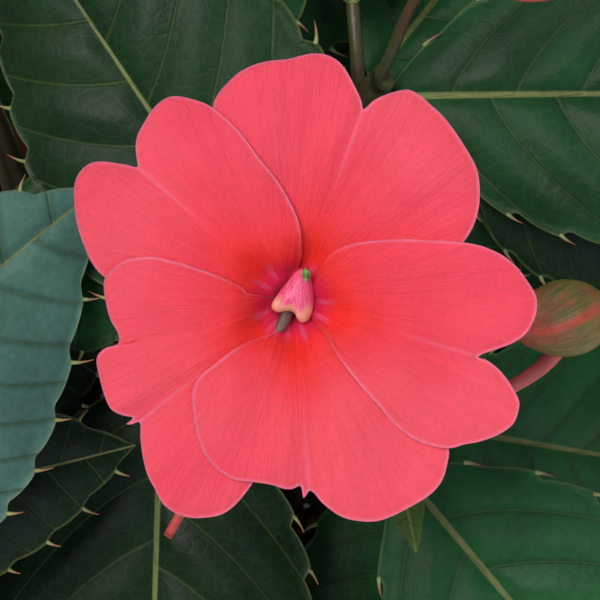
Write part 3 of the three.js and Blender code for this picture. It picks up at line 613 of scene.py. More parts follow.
# a lag has a value for each side of the blade
TEETH = {"count": 11, "young": 5, "peak": 0.8, "depth": 1.5, "power": 0.8, "mean": 0.55, "lag": (0.5, 0.12)}
BRISTLE = {"length": 2.5, "radius": 0.46, "taper": 0.85, "points": 5, "sunk": 0.5, "lower": 0.15,
           "between": (0.05, 0.955), "vary": (0.8, 1.15), "aside": 0.8, "ahead": 0.55,
           "hook": 0.64, "lean": (0.75, 1.15), "turn_up": 0.35}
QUILT = {"height": 1.3, "power": 0.55, "veins": 9, "lean": 0.45, "curve": 0.02, "lag": (0.4, 0.0)}
RIB_GROOVE = {"depth": 0.45, "width": 1.5}
WAVE = {"height": 0.8, "pace": 7.5, "lag": (1.3, 0)}
BLADE_THICK = {"edge": 0.3, "rib": 0.35, "rib_width": 2, "young": 0.6}
MIDRIB = {"points": 40, "start": -1.5, "end": 0.9, "least": 0.35, "young": 0.62, "sides": 8, "sunk": 0.3,
          "sunk_radius": 0.9, "sunk_groove": 0.6}


def on_side(v, values):
    """The first value left of the blade's middle, the second one right of it."""
    return np.where(np.asarray(v) < 0, *values)


def scallop(p):
    """The outward swell of the margin along one tooth, from 0 after the last to 1 at its tip."""
    rising = np.sin(np.clip(p / TEETH["peak"], 0, 1) * math.pi / 2) ** TEETH["power"]
    falling = 1 - np.clip((p - TEETH["peak"]) / (1 - TEETH["peak"]), 0, 1) ** TEETH["power"]
    return np.where(p < TEETH["peak"], rising, falling)


def margin_wave(s, v, size, start):
    """The slow wave of a leaf's margin, out of step on its two sides."""
    return WAVE["height"] * size * np.sin(WAVE["pace"] * s + start + on_side(v, WAVE["lag"]))


def fine_leaf(shape, leaf, seed):
    """A toothed, quilted blade on the leaf's own middle line, with its stalk and bristles."""
    rng = np.random.default_rng(seed)
    young = leaf.get("young", False)
    rows, columns = LEAF_GRID["near" if leaf.get("near") else "young" if young else "plain"]
    size = leaf["length"] / 100
    teeth = TEETH["young"] if young else round(TEETH["count"] * size**0.5)
    s = np.linspace(*LEAF_GRID["ends"], rows)[:, None]
    u = np.linspace(-1, 1, columns)
    v = np.sign(u) * abs(u) ** LEAF_GRID["crowd"]
    at, across, up = leaf_frame(leaf, leaf["petiole"] + s[:, 0] * leaf["length"])
    half = blade(leaf, s) * (1 - leaf.get("skew", 0) * v)
    broad = half / half.max()
    depth = TEETH["depth"] * size * step_up(0.02, 0.12, s) * step_up(1.0, 0.9, s)
    swell = depth * (scallop((s * teeth + on_side(v, TEETH["lag"])) % 1) - TEETH["mean"]) * abs(v) ** 6
    beside = v * half + np.sign(v) * swell
    lateral = s - (QUILT["lean"] * abs(beside) + QUILT["curve"] * beside**2) / leaf["length"]
    phase = QUILT["veins"] * lateral + on_side(v, QUILT["lag"])
    to_vein = abs((phase + 0.5) % 1 - 0.5)
    inside = step_up(0.0, 0.16, abs(v)) * (1 - abs(v) ** 5) * broad
    quilt = QUILT["height"] * size * (np.minimum(to_vein * 2, 1) ** QUILT["power"] - 0.5) * inside
    groove = RIB_GROOVE["depth"] * size * np.exp(-((beside / RIB_GROOVE["width"]) ** 2))
    groove = groove * step_up(1.0, 0.8, s)
    start = rng.uniform(0, 6)
    wave = margin_wave(s, v, size, start) * abs(v) ** 2 * broad
    lift = half * (LEAF["keel"] * abs(v) - LEAF["arch"] * v**2) + quilt - groove + wave
    top = at[:, None] + across[:, None] * beside[..., None] + up[:, None] * lift[..., None]
    thick = BLADE_THICK["edge"] + BLADE_THICK["rib"] * np.exp(-((beside / BLADE_THICK["rib_width"]) ** 2))
    thick = thick * (BLADE_THICK["young"] if young else 1)
    tone = rng.uniform(-1, 1)
    if leaf.get("tone") is not None:
        tone = leaf["tone"]
    shape.sheet(top[:, ::-1], thick, rib=beside[:, ::-1], phase=phase[:, ::-1], along=s,
                rim=(half * (1 - abs(v)))[:, ::-1], tone=tone, young=float(young),
                cool=float(leaf.get("cool", 0)))
    fine_midrib(shape, leaf, size, groove.max(), tone)
    if not young:
        fine_bristles(shape, leaf, size, teeth, half.max(), start, rng)


def fine_midrib(shape, leaf, size, groove, tone):
    """The leaf's stalk, which runs on under the blade as its midrib."""
    reach = np.linspace(MIDRIB["start"], leaf["petiole"] + leaf["length"] * MIDRIB["end"], MIDRIB["points"])
    line, _, rise = leaf_frame(leaf, reach)
    under_blade = np.clip(reach / leaf["petiole"], 0, 1) ** 6
    taper = 1 - np.clip((reach - leaf["petiole"]) / leaf["length"], 0, 1)
    radius = LEAF["petiole_radius"] * (MIDRIB["least"] + (1 - MIDRIB["least"]) * taper**1.2) * size**0.4
    radius = radius * (MIDRIB["young"] if leaf.get("young") else 1)
    sunk = radius * MIDRIB["sunk_radius"] + groove * MIDRIB["sunk_groove"] + MIDRIB["sunk"]
    sunk = sunk * under_blade
    shape.tubes([line - rise * sunk[:, None]], [radius], MIDRIB["sides"], look=1, along=[taper * 0.5 + 0.2],
                tone=tone)


def fine_bristles(shape, leaf, size, teeth, widest, start, rng):
    """A hooked bristle on the tip of each tooth."""
    t = np.linspace(0, 1, BRISTLE["points"])
    for side, lag in zip((-1, 1), TEETH["lag"]):
        tips = (np.arange(teeth + 1) + TEETH["peak"] - lag) / teeth
        tips = tips[(tips > BRISTLE["between"][0]) & (tips < BRISTLE["between"][1])]
        reach = leaf["petiole"] + tips * leaf["length"]
        base, aside, lifted = leaf_frame(leaf, reach)
        forward = unit(leaf_frame(leaf, reach + 1)[0] - base)
        wide = blade(leaf, tips)[:, None] * (1 - leaf.get("skew", 0) * side)
        swollen = (1 - TEETH["mean"]) * TEETH["depth"] * size
        rise = wide * (LEAF["keel"] - LEAF["arch"]) - BRISTLE["lower"]
        rise = rise + margin_wave(tips[:, None], side, size, start) * wide / widest
        foot = base + aside * side * (wide + swollen - BRISTLE["sunk"]) + lifted * rise
        each = (len(tips), 1, 1)
        lean = rng.uniform(*BRISTLE["lean"], size=each)
        long = BRISTLE["length"] * size**0.5 * rng.uniform(*BRISTLE["vary"], size=each)
        heading = unit(aside * side * BRISTLE["aside"] + forward * BRISTLE["ahead"])[:, None]
        hook = (forward[:, None] * lean + lifted[:, None] * BRISTLE["turn_up"]) * BRISTLE["hook"]
        line = foot[:, None] + long * (heading * t[:, None] + hook * t[:, None] ** 2)
        radii = np.broadcast_to(BRISTLE["radius"] * (1 - BRISTLE["taper"] * t), line.shape[:2])
        shape.tubes(line, radii, BRISTLE["points"], look=2, along=np.broadcast_to(t, line.shape[:2]))


def fine_stalk(shape, curve, radius_at, count=28, sides=10, look=1, **values):
    """A tube round a curve, which holds how far along it each point is."""
    t = np.linspace(0, 1, count)
    line = np.array([curve(x) for x in t])
    shape.tubes([line], [radius_at(t)], sides, look=look, along=[t], **values)


def shoot_shape(plant, shoot):
    """A leafy stem with the stalks of its flowers."""
    shape = Shape()

    def stem_radius(t):
        joint = sum(np.exp(-(((1 - t) * shoot["length"] - whorl[0]) / STEM["joint_length"]) ** 2)
                    for whorl in shoot["whorls"])
        return STEM["foot"] + (STEM["top"] - STEM["foot"]) * t + STEM["joint"] * joint

    fine_stalk(shape, shoot["line"], stem_radius, count=72, sides=16)
    for number, leaf in enumerate(plant["leaves"]):
        if leaf["shoot"] == shoot["name"]:
            fine_leaf(shape, leaf, 100 + number)
    for each in plant["blooms"] + plant["buds"]:
        if each["shoot"] == shoot["name"]:
            thick = STALK["bloom_radius" if "rims" in each else "bud_radius"]
            fine_stalk(shape, each["stalk"], lambda t: thick - STALK["taper"] * t)
    return shape


# Blooms

# the rows and columns of a traced petal and of a plain one
PETAL_GRID = {True: (40, 131), False: (17, 53)}
# a petal's relief, each with its height first and then its pace or width
RELIEF = {"keel": (0.3, 1.6), "folds": (0.24, 13, 9), "ripple": (0.04, 52, 7), "swell": (0.4, 2, 4.5),
          "rim": (0.4, 1.2), "from": 7, "full": 26}
THROAT_DIP = {"depth": 2.4, "width": 0.4}
CALM = {"reach": 9, "spread": 4.0, "end": 0.08, "until": 0.55}
CLAW_SPREAD = (0.12, 0.76)
SIDE_BEND = 0.14
PETAL_THICK = {"middle": 0.42, "edge": 0.35, "within": 2.5}
CUP = [(0.3, -6.4, 0), (2.2, -6.2, 0.5), (4, -5.1, 0.4), (4.7, -5.3, 0.3), (4.5, -6.2, 0.8), (2.6, -8.6, 0.8),
       (0.3, -8.8, 0)]
COLUMN_GRID = {"traced": (18, 96), "plain": (11, 64)}
HOOD = {"middle": (0.5, 0.9), "low": -0.9, "height": 3.1, "outline": [
    (1.5, 4.7), (2.5, 4.1), (3, 2.3), (3.2, 0.3), (3, -1.6), (2.4, -3), (1.5, -3.4), (0.75, -2.9),
    (0.4, -2.1), (-0.3, -1.75), (-1.3, -1.85), (-2.2, -1.85), (-2.9, -1.4), (-3, -0.7), (-2, 1), (-0.5, 2.9),
    (0.7, 4.3),
]}
TIP = {"middle": (1.95, 3.6), "low": 0.4, "height": 1.85, "outline": [
    (1.95, 4.8), (2.7, 4.1), (2.65, 3.2), (2.1, 2.35), (1.45, 3.1), (1.35, 4.0),
]}
TONGUE = {"middle": (-1.2, -2.9), "low": -0.6, "height": 1.15, "outline": [
    (-0.1, -1.0), (0.2, -2.0), (-0.5, -3.6), (-1.7, -4.9), (-2.5, -5.1), (-2.5, -4.1), (-1.9, -2.4),
    (-1.2, -1.2),
]}
# the spurs' radius at the thin end, and what is added to it at the other end
SPUR_RADIUS = (0.75, 2.4)
BUD_SPUR_RADIUS = (0.7, 0.8)
SIDE_SEPAL = {"from": 1.6, "reach": 6.6, "rise": 2.6, "low": -9.6, "wide": 1.9, "cupped": 0.35}
BUD_PROFILE = [(0.0, -0.5), (0.5, -0.49), (0.92, -0.3), (1, -0.05), (0.72, 0.24), (0.25, 0.46), (0.0, 0.5)]
BUD_FURL = {"twist": 1.5, "seams": 3, "start": 0.4, "width": 0.22, "depth": 0.09}


def rim_distance(points, rim):
    """How far points in the face's plane are from a petal's rim."""
    apart = points[..., None, :] - rim
    return np.sqrt((apart**2).sum(-1).min(-1))


def petal_height(radius, inward, stack):
    """Height over the face: a dip into the throat, deeper along the petal's middle, then a slope out."""
    r = radius - inward
    share = np.clip((r - PETAL["claw"] + 1) / (PETAL["throat"] - 2 - PETAL["claw"]), 0, 1)
    low = PETAL["dip"] + stack * PETAL["claw_step"]
    rise = np.sin(share * math.pi / 2) ** 1.1
    return low + (stack * PETAL["step"] - low) * rise + np.maximum(r - PETAL["throat"], 0) * PETAL["slope"]


def at_places(places, known, points):
    """The points of a flat line at some places along it."""
    return np.stack([np.interp(places, known, points[:, k]) for k in (0, 1)], axis=-1)


def petal_grid(curve, notch, rows, columns):
    """A flat grid from the throat to a petal's rim, with the rim's close points, the direction of the
    petal's middle, and which way round the rim runs."""
    w = np.linspace(0, 1, rows)[:, None] ** 0.92
    u = np.linspace(0, 1, columns)
    dense = np.array([curve(x)[:2] for x in np.linspace(0, 1, columns * 3)])
    middle = curve(notch)
    middle_turn = math.atan2(middle[1], middle[0])
    turns = wrapped(np.arctan2(dense[:, 1], dense[:, 0]) - middle_turn)
    way = 1 if turns[-1] > turns[0] else -1
    half = len(dense) // 2
    first, last = np.argmin(way * turns[:half]), half + np.argmax(way * turns[half:])
    rim = at_places(np.linspace(first, last, columns), np.arange(len(dense)), dense)
    spread = CLAW_SPREAD[0] + CLAW_SPREAD[1] * u
    angle = middle_turn + turns[first] + (turns[last] - turns[first]) * spread
    claw = PETAL["start"] * np.stack([np.cos(angle), np.sin(angle)], axis=-1)
    # notches and flaps stay near the rim: further in, the grid follows a smoothed rim
    reach = np.arange(-CALM["reach"], CALM["reach"] + 1)
    weights = np.exp(-((reach / CALM["spread"]) ** 2))
    near = np.clip(np.arange(columns)[:, None] + reach, 0, columns - 1)
    calm = (rim[near] * weights[:, None]).sum(1) / weights.sum()
    calm = rim + (calm - rim) * (step_up(0, CALM["end"], u) * step_up(1, 1 - CALM["end"], u))[:, None]
    share = step_up(CALM["until"], 1, w)[..., None]
    flat = claw * (1 - w[..., None]) + (calm * (1 - share) + rim * share) * w[..., None]
    # the outer columns bend along the petal's side edges
    for column, side in ((0, dense[: first + 1]), (-1, dense[last:][::-1])):
        path = np.concatenate([claw[column : column + 1 or None], side])
        run = np.cumsum(np.r_[0, np.linalg.norm(np.diff(path, axis=0), axis=1)])
        bent = at_places(w[:, 0], run / run[-1], path)
        fade = np.exp(-(((u - u[column]) / SIDE_BEND) ** 2))
        flat = flat + (bent - flat[:, column])[:, None] * fade[:, None]
    return flat, dense, middle_turn, way


def petal_relief(radius, turn, beside, edge):
    """The keel, folds, ripples and rolled rim of a petal, which grow outwards."""
    (keel, keel_width), (fold, folds, fold_lean) = RELIEF["keel"], RELIEF["folds"]
    (ripple, ripples, ripple_lean), (swell, swells, swell_pace) = RELIEF["ripple"], RELIEF["swell"]
    roll, roll_width = RELIEF["rim"]
    return step_up(RELIEF["from"], RELIEF["full"], radius) * (
        fold * np.cos(folds * turn + radius / fold_lean) - keel * np.exp(-((beside / keel_width) ** 2))
        + ripple * np.sin(ripples * turn + radius / ripple_lean)
        + swell * np.sin(radius / swell_pace + swells * turn) - roll * np.exp(-edge / roll_width))


def fine_petal(shape, each, stack, notch, curve, middles, seed):
    """A thin petal with its relief, which dips into the throat along every petal's middle."""
    flat, dense, middle_turn, way = petal_grid(curve, notch, *PETAL_GRID[each["traced"]])
    radius = np.hypot(flat[..., 0], flat[..., 1])
    turn = np.arctan2(flat[..., 1], flat[..., 0])
    turned = wrapped(turn - middle_turn)
    apart = wrapped(turn[..., None] - middles)
    inward = THROAT_DIP["depth"] * np.exp(-((apart / THROAT_DIP["width"]) ** 2)).max(-1)
    edge = rim_distance(flat, dense)
    height = petal_height(radius, inward, stack) + petal_relief(radius, turn, turned * radius, edge)
    top = in_face(each, np.concatenate([flat, height[..., None]], axis=-1))
    to_side = rim_distance(flat, np.concatenate([dense, flat[:, 0], flat[:, -1]]))
    full = step_up(0, PETAL_THICK["within"], to_side)
    thick = PETAL_THICK["middle"] * each["size"] * (PETAL_THICK["edge"] + (1 - PETAL_THICK["edge"]) * full)
    order = slice(None, None, -way)
    shape.sheet(top[:, order], thick[:, order], radius=radius[:, order], rim=edge[:, order],
                turn=turned[:, order], tone=np.random.default_rng(seed).uniform(-1, 1))


def dome(shape, each, form, rings, count, **values):
    """A rounded mound over a closed outline in the face's plane."""
    outline, middle = form["outline"], form["middle"]
    curve = spline(outline + outline[:1], even=False)
    rim = np.array([curve(k / count)[:2] for k in range(count)])
    w = np.linspace(0.04, 1, rings)[:, None] + np.zeros((rings, count))
    flat = np.array(middle) + (rim - middle) * w[..., None]
    rise = form["low"] + form["height"] * np.sqrt(np.maximum(1 - w**2.4, 0))
    n = np.arange(rings * count).reshape(rings, count)
    made = {k: v(flat, w) if callable(v) else v for k, v in values.items()}
    shape.add(in_face(each, np.concatenate([flat, rise[..., None]], axis=-1)),
              [closed(n), n[:1], n[-1:, ::-1]], **made)


def petals_shape(each, number):
    """The five petals and the cup that holds them."""
    shape = Shape()
    tops = [curve(notch)[:2] for _, notch, curve in each["rims"]]
    middles = np.array([math.atan2(y, x) for x, y in tops])
    for stack, notch, curve in each["rims"]:
        fine_petal(shape, each, stack, notch, curve, middles, 10 * number + stack)
    cup = lathe_grid(rounded(CUP), 40)[::-1]
    radius = np.hypot(cup[..., 0], cup[..., 1])
    wheel(shape, in_face(each, cup), radius=radius * 0.5, rim=3.0, under=step_up(4.3, 4.9, radius))
    return shape


def column_shape(each):
    """The pink hood over the throat, with the green tip behind it and the tongue below."""
    shape = Shape()
    hood, tip, tongue = COLUMN_GRID["traced" if each["traced"] else "plain"], (8, 28), (8, 36)

    def cream(flat, w):
        return step_up(0.45, 0.78, w) * step_up(0.5, -0.9, flat[..., 1] + 0.25 * flat[..., 0])

    def streak(flat, w):
        return np.arctan2(flat[..., 0] - 1.4, 6.5 - flat[..., 1])

    dome(shape, each, HOOD, *hood, cream=cream, rim=lambda flat, w: w, streak=streak)
    dome(shape, each, TIP, *tip, green=1.0)
    dome(shape, each, TONGUE, *tongue, brown=1.0, along=lambda flat, w: step_up(-1.5, -5.0, flat[..., 1]))
    return shape


def spur_shape(each):
    """The long hooked spur behind the bloom, with the small sepals beside it."""
    shape = Shape()
    size = each["size"]
    curve = spline(in_face(each, SPUR))
    fine_stalk(shape, curve, lambda t: size * (SPUR_RADIUS[0] + SPUR_RADIUS[1] * (1 - t) ** 5), count=64,
               sides=14, look=0)
    w, v = np.linspace(0, 1, 12), np.linspace(-1, 1, 9)
    wide = SIDE_SEPAL["wide"] * np.sin(math.pi * (0.12 + 0.83 * w)) ** 0.8
    cupped = np.stack([0 * v, v, -SIDE_SEPAL["cupped"] * v**2], axis=-1) * wide[:, None, None]
    for side in (-1, 1):
        place = np.stack([side * (SIDE_SEPAL["from"] + SIDE_SEPAL["reach"] * w), SIDE_SEPAL["rise"] * w,
                          SIDE_SEPAL["low"] - 0.3 * w], axis=-1)
        grid = (place[:, None] + cupped)[:, :: -side]
        shape.sheet(in_face(each, grid), 0.35, along=w[:, None], sepal=1.0)
    return shape


def bud_shape(each):
    """A furled bud in its sepals, with its curled spur."""
    shape = Shape()
    size = each["size"]
    sides, rings = 48, 30
    profile = spline(BUD_PROFILE)
    outline = np.array([profile(t)[:2] for t in np.linspace(0.012, 0.988, rings)])
    out, height = outline[:, :1], outline[:, 1:]
    turn = 2 * math.pi * np.arange(sides) / sides
    twist = turn + BUD_FURL["twist"] * height
    lobe = 2 * math.pi / BUD_FURL["seams"]
    seam = np.exp(-((((twist + BUD_FURL["start"]) % lobe) - lobe / 2) / BUD_FURL["width"]) ** 2)
    wide = BUD["radius"] * np.maximum(out, 0.03) * (1 - BUD_FURL["depth"] * seam)
    grid = np.stack([wide * np.cos(turn), wide * np.sin(turn), height * BUD["length"] + 0 * turn], axis=-1)
    n = np.arange(rings * sides).reshape(rings, sides)
    petal = step_up(0.25, 1.05, seam + 0.25 * step_up(0.0, 0.4, height)) * step_up(-0.42, -0.2, height)
    shape.add(in_face(each, grid), [closed(n)[:, ::-1], n[:1], n[-1:]], petal=petal,
              along=height + 0.5 + 0 * turn, around=np.sin(twist * BUD_FURL["seams"]))
    curve = spline(in_face(each, BUD_SPUR))
    fine_stalk(shape, curve, lambda t: size * (BUD_SPUR_RADIUS[0] + BUD_SPUR_RADIUS[1] * (1 - t)), count=48,
               sides=12, look=0, spur=1.0)
    return shape


# The pot and its soil


def soil_height(x, y):
    r = np.hypot(x, y) / (POT["rim"] - POT["wall"])
    lumps = np.sin(0.31 * x + 1.3) * np.cos(0.27 * y) + 0.6 * np.sin(0.11 * x - 0.17 * y)
    return SOIL_TOP + SOIL["dome"] * (1 - r * r) + SOIL["lump"] * lumps * (1 - r**6)


def wall_at(z):
    """The radius of the pot's inner wall at a height."""
    band = POT["height"] - BAND["height"]
    waist = POT["rim"] - POT["wall"] - BAND["inset"]
    foot = POT["foot"] - POT["wall"]
    if z > band:
        return waist + BAND["inset"] * (z - band) / BAND["height"]
    return foot + (waist - foot) * (z - POT["floor"]) / (band - POT["floor"])


def rounded(corners, count=5):
    """A profile with each inner corner, given with its radius, turned into a short curve."""
    out = []
    for k, (x, z, radius) in enumerate(corners):
        here = np.array([x, z], float)
        if k in (0, len(corners) - 1) or not radius:
            out.append(here)
            continue
        ends = [here + unit(np.array(corners[j][:2], float) - here) * radius for j in (k - 1, k + 1)]
        bend = bezier(ends[0], here, ends[1])
        out.extend(bend(t) for t in np.linspace(0, 1, count))
    return np.array(out)


def lathe_grid(profile, sides):
    turn = 2 * math.pi * np.arange(sides) / sides
    x, z = profile[:, :1], profile[:, 1:]
    return np.stack([x * np.cos(turn), x * np.sin(turn), z + 0 * turn], axis=-1)


def wheel(shape, grid, look=0, **values):
    """A closed solid of rings: its first and last ring are capped."""
    rings, sides = grid.shape[:2]
    n = np.arange(rings * sides).reshape(rings, sides)
    shape.add(grid, [closed(n)[:, ::-1], n[:1], n[-1:, ::-1]], look, **values)


def pot_shape():
    rim, foot, height, floor = POT["rim"], POT["foot"], POT["height"], POT["floor"]
    band, body = height - BAND["height"], rim - BAND["proud"]
    outer = [(0.4, 0, 0), (foot, 0, 2.2), (body - 1, band - 1.5, 3), (rim - 0.5, band, 2.4),
             (rim + 1, height, 2.6), (wall_at(height), height, 2.6), (wall_at(band), band, 3),
             (wall_at(floor), floor, 5), (0.4, floor, 0)]
    profile = rounded(outer, 7)
    fine = []
    for a, b in zip(profile[:-1], profile[1:]):
        steps = max(1, int(np.linalg.norm(b - a) / 5))
        fine.extend(a + (b - a) * k / steps for k in range(steps))
    fine.append(profile[-1])
    grid = lathe_grid(np.array(fine), 128)
    out = unit(grid * [1, 1, 0] + [1e-9, 0, 0])
    grid = grid + out * 0.12 * blob_noise(grid, 9, 5)[..., None]
    shape = Shape()
    wheel(shape, grid)
    return shape


def bored(made, holes):
    """Cuts the drain holes and applies the cut."""
    cut = made.modifiers.new("drain", "BOOLEAN")
    cut.object, cut.operation, cut.solver = holes, "DIFFERENCE", "EXACT"
    graph = bpy.context.evaluated_depsgraph_get()
    mesh = bpy.data.meshes.new_from_object(made.evaluated_get(graph))
    made.modifiers.clear()
    made.data = mesh
    bpy.data.objects.remove(holes)


# the soil's roughness: the height, scale and seed of each noise
SOIL_ROUGH = [(0.7, 1.6, 3), (0.6, 0.7, 4)]
# the lumps on the soil, one row for each of its materials: how many, their sizes, and how flat they are
LUMPS = [(1700, (0.7, 2.3), 0.75), (130, (2.2, 4.4), 0.35), (150, (0.6, 1.5), 0.75)]


def soil_shape():
    """The filling of the pot, with a rough top and loose lumps on it."""
    rng = np.random.default_rng(17)
    sides, gap = 160, 0.3
    top = wall_at(SOIL_TOP - 1) - gap
    radius = top * np.linspace(0, 1, 60)[:, None] ** 0.9 + 0.3
    turn = 2 * math.pi * np.arange(sides) / sides
    x, y = radius * np.cos(turn), radius * np.sin(turn)
    flat = np.stack([x, y, soil_height(x, y)], axis=-1)
    rough = sum(height * blob_noise(flat, scale, seed) for height, scale, seed in SOIL_ROUGH)
    flat[..., 2] += rough * step_up(1, 0.93, radius / top)
    floor = POT["floor"] + gap
    low = [(wall_at(z) - gap, z) for z in (SOIL_TOP - 1, POT["height"] - BAND["height"], floor)]
    low.append((0.3, floor))
    shape = Shape()
    wheel(shape, np.concatenate([flat, lathe_grid(np.array(low), sides)])[::-1])
    for look, (count, sizes, squash) in enumerate(LUMPS):
        points, faces, tone = crumb_field(rng, count, sizes, top, squash)
        shape.add(points, [faces], look, tone=tone)
    return shape


def ball():
    """A ball of 20 faces: an icosahedron."""
    g = (1 + 5**0.5) / 2
    corners = [(-1, g, 0), (1, g, 0), (-1, -g, 0), (1, -g, 0), (0, -1, g), (0, 1, g),
               (0, -1, -g), (0, 1, -g), (g, 0, -1), (g, 0, 1), (-g, 0, -1), (-g, 0, 1)]
    points = unit(np.array(corners, float))
    away = np.linalg.norm(points[:, None] - points, axis=-1)
    near = (away > 0.1) & (away < 1.2)
    faces = []
    for a in range(12):
        for b in range(a + 1, 12):
            for c in range(b + 1, 12):
                if near[a, b] and near[b, c] and near[a, c]:
                    out = np.dot(np.cross(points[b] - points[a], points[c] - points[a]), points[a]) > 0
                    faces.append((a, b, c) if out else (a, c, b))
    return points, np.array(faces)


def crumb_field(rng, count, sizes, reach, flat):
    """Uneven lumps half sunk in the soil."""
    points, faces = ball()
    away = reach * np.sqrt(rng.uniform(0, 0.93, count))
    turn = rng.uniform(0, 2 * math.pi, count)
    x, y = away * np.cos(turn), away * np.sin(turn)
    size = rng.uniform(*sizes, count)
    spin = np.linalg.qr(rng.normal(size=(count, 3, 3)))[0]
    lumps = points * (1 + 0.22 * rng.normal(size=(count, len(points), 1)))
    lumps = lumps * np.array([1, 0.8, flat])
    lumps = np.einsum("nij,nkj->nki", spin, lumps) * size[:, None, None] * 0.6
    at = np.stack([x, y, soil_height(x, y) + 0.25 * size], axis=-1)
    numbered = faces + np.arange(count)[:, None, None] * len(points)
    tone = np.repeat(rng.uniform(-1, 1, count), len(points))
    return (lumps + at[:, None]).reshape(-1, 3), numbered.reshape(-1, 3), tone


# Materials


def srgb(red, green, blue):
    """A colour from its 0 to 255 screen values, as linear light."""
    values = (c / 255 for c in (red, green, blue))
    return tuple(c / 12.92 if c <= 0.04045 else ((c + 0.055) / 1.055) ** 2.4 for c in values)


class Nodes:
    """Adds nodes to a tree and wires their inputs by name or number."""

    def __init__(self, tree):
        self.tree = tree

    def add(self, kind, inputs=None, **settings):
        node = self.tree.nodes.new("ShaderNode" + kind)
        for key, value in settings.items():
            setattr(node, key, value)
        for key, value in (inputs or {}).items():
            self.feed(node.inputs[key], value)
        return node

    def feed(self, socket, value):
        if isinstance(value, bpy.types.NodeSocket):
            self.tree.links.new(value, socket)
        elif socket.type == "RGBA" and len(value) == 3:
            socket.default_value = (*value, 1)
        else:
            socket.default_value = value

    def value(self, name):
        """A value that the mesh holds at its points."""
        return self.add("Attribute", attribute_name=name).outputs["Fac"]

    def sum(self, operation, a, b=0.0, c=0.0, clamp=False):
        node = self.add("Math", {0: a, 1: b, 2: c}, operation=operation, use_clamp=clamp)
        return node.outputs[0]

    def times(self, a, b):
        return self.sum("MULTIPLY", a, b)

    def ramp(self, value, low, high, start=0.0, end=1.0):
        """A smooth step of a value between two bounds."""
        inputs = {"Value": value, "From Min": low, "From Max": high, "To Min": start, "To Max": end}
        return self.add("MapRange", inputs, interpolation_type="SMOOTHSTEP").outputs[0]

    def mix(self, share, a, b):
        node = self.add("Mix", {0: share, 6: a, 7: b}, data_type="RGBA")
        return node.outputs[2]

    def layers(self, colour, over):
        """A colour with others laid over it, each given with its share."""
        for share, upper in over:
            colour = self.mix(share, colour, upper)
        return colour

    def place(self):
        """Places on the object, in metres."""
        return self.add("TexCoord").outputs["Object"]

    def noise(self, scale, detail=3.0, vector=None, rough=0.5, warp=0.0):
        inputs = {"Scale": scale, "Detail": detail, "Roughness": rough, "Distortion": warp,
                  "Vector": vector or self.place()}
        return self.add("TexNoise", inputs).outputs["Fac"]

    def vector(self, x, y, z=0.0):
        return self.add("CombineXYZ", {0: x, 1: y, 2: z}).outputs[0]

    def group(self, tree, inputs):
        return self.add("Group", inputs, node_tree=tree).outputs


def new_group(name, inputs, outputs):
    """A shader node group with named sockets: the tree, its Nodes, and the sockets to read and to feed."""
    tree = bpy.data.node_groups.new(name, "ShaderNodeTree")
    for key, kind, default in inputs:
        socket = tree.interface.new_socket(key, in_out="INPUT", socket_type=kind)
        if default is not None:
            socket.default_value = default
    for key, kind in outputs:
        tree.interface.new_socket(key, in_out="OUTPUT", socket_type=kind)
    source = tree.nodes.new("NodeGroupInput")
    sink = tree.nodes.new("NodeGroupOutput")
    return tree, Nodes(tree), source.outputs, sink.inputs


def mottle_group():
    """Soft cloudy variation of a colour, with finer speckle in it."""
    name = "Mottle"
    if name in bpy.data.node_groups:
        return bpy.data.node_groups[name]
    tree, n, source, sink = new_group(name, [
        ("Color", "NodeSocketColor", (0.5, 0.5, 0.5, 1)), ("Scale", "NodeSocketFloat", 60.0),
        ("Amount", "NodeSocketFloat", 0.2), ("Speckle", "NodeSocketFloat", 0.1),
    ], [("Color", "NodeSocketColor"), ("Mask", "NodeSocketFloat")])
    broad = n.ramp(n.noise(source["Scale"], 4), 0.32, 0.68, -1.0, 1.0)
    fine = n.ramp(n.noise(n.times(source["Scale"], 9.0), 2), 0.3, 0.7, -1.0, 1.0)
    change = n.times(broad, source["Amount"])
    change = n.sum("MULTIPLY_ADD", fine, source["Speckle"], change)
    bright = n.sum("ADD", change, 1.0)
    shaded = n.add("HueSaturation", {"Value": bright, "Color": source["Color"]})
    n.feed(sink["Color"], shaded.outputs["Color"])
    n.feed(sink["Mask"], n.sum("MULTIPLY_ADD", broad, 0.5, 0.5))
    return tree


def grain_group():
    """Fine surface relief of two sizes, as a normal."""
    name = "Grain"
    if name in bpy.data.node_groups:
        return bpy.data.node_groups[name]
    tree, n, source, sink = new_group(name, [
        ("Scale", "NodeSocketFloat", 400.0), ("Depth", "NodeSocketFloat", 0.0002),
        ("Height", "NodeSocketFloat", 0.0),
    ], [("Normal", "NodeSocketVector")])
    coarse = n.noise(source["Scale"], 3)
    fine = n.noise(n.times(source["Scale"], 5.0), 2)
    height = n.sum("MULTIPLY_ADD", fine, 0.35, coarse)
    height = n.sum("MULTIPLY_ADD", height, source["Depth"], source["Height"])
    bump = n.add("Bump", {"Strength": 1.0, "Distance": 1.0, "Height": height})
    n.feed(sink["Normal"], bump.outputs["Normal"])
    return tree


def new_material(name, **fixed):
    """A material with one Principled shader, its fixed values set on their own sockets."""
    material = bpy.data.materials.new(name)
    material.use_nodes = True
    n = Nodes(material.node_tree)
    shader = material.node_tree.nodes["Principled BSDF"]
    for key, value in fixed.items():
        n.feed(shader.inputs[key.replace("_", " ")], value)
    return material, n, shader.inputs


def soft(weight, radius, scale):
    """The subsurface values of a material."""
    return {"Subsurface_Weight": weight, "Subsurface_Radius": radius, "Subsurface_Scale": scale}


def mottled(n, shader, colour, scale, amount, speckle):
    """Gives the shader a mottled colour, and returns the mask of its clouds."""
    inputs = {"Color": colour, "Scale": scale, "Amount": amount, "Speckle": speckle}
    made = n.group(mottle_group(), inputs)
    n.feed(shader["Base Color"], made["Color"])
    return made["Mask"]


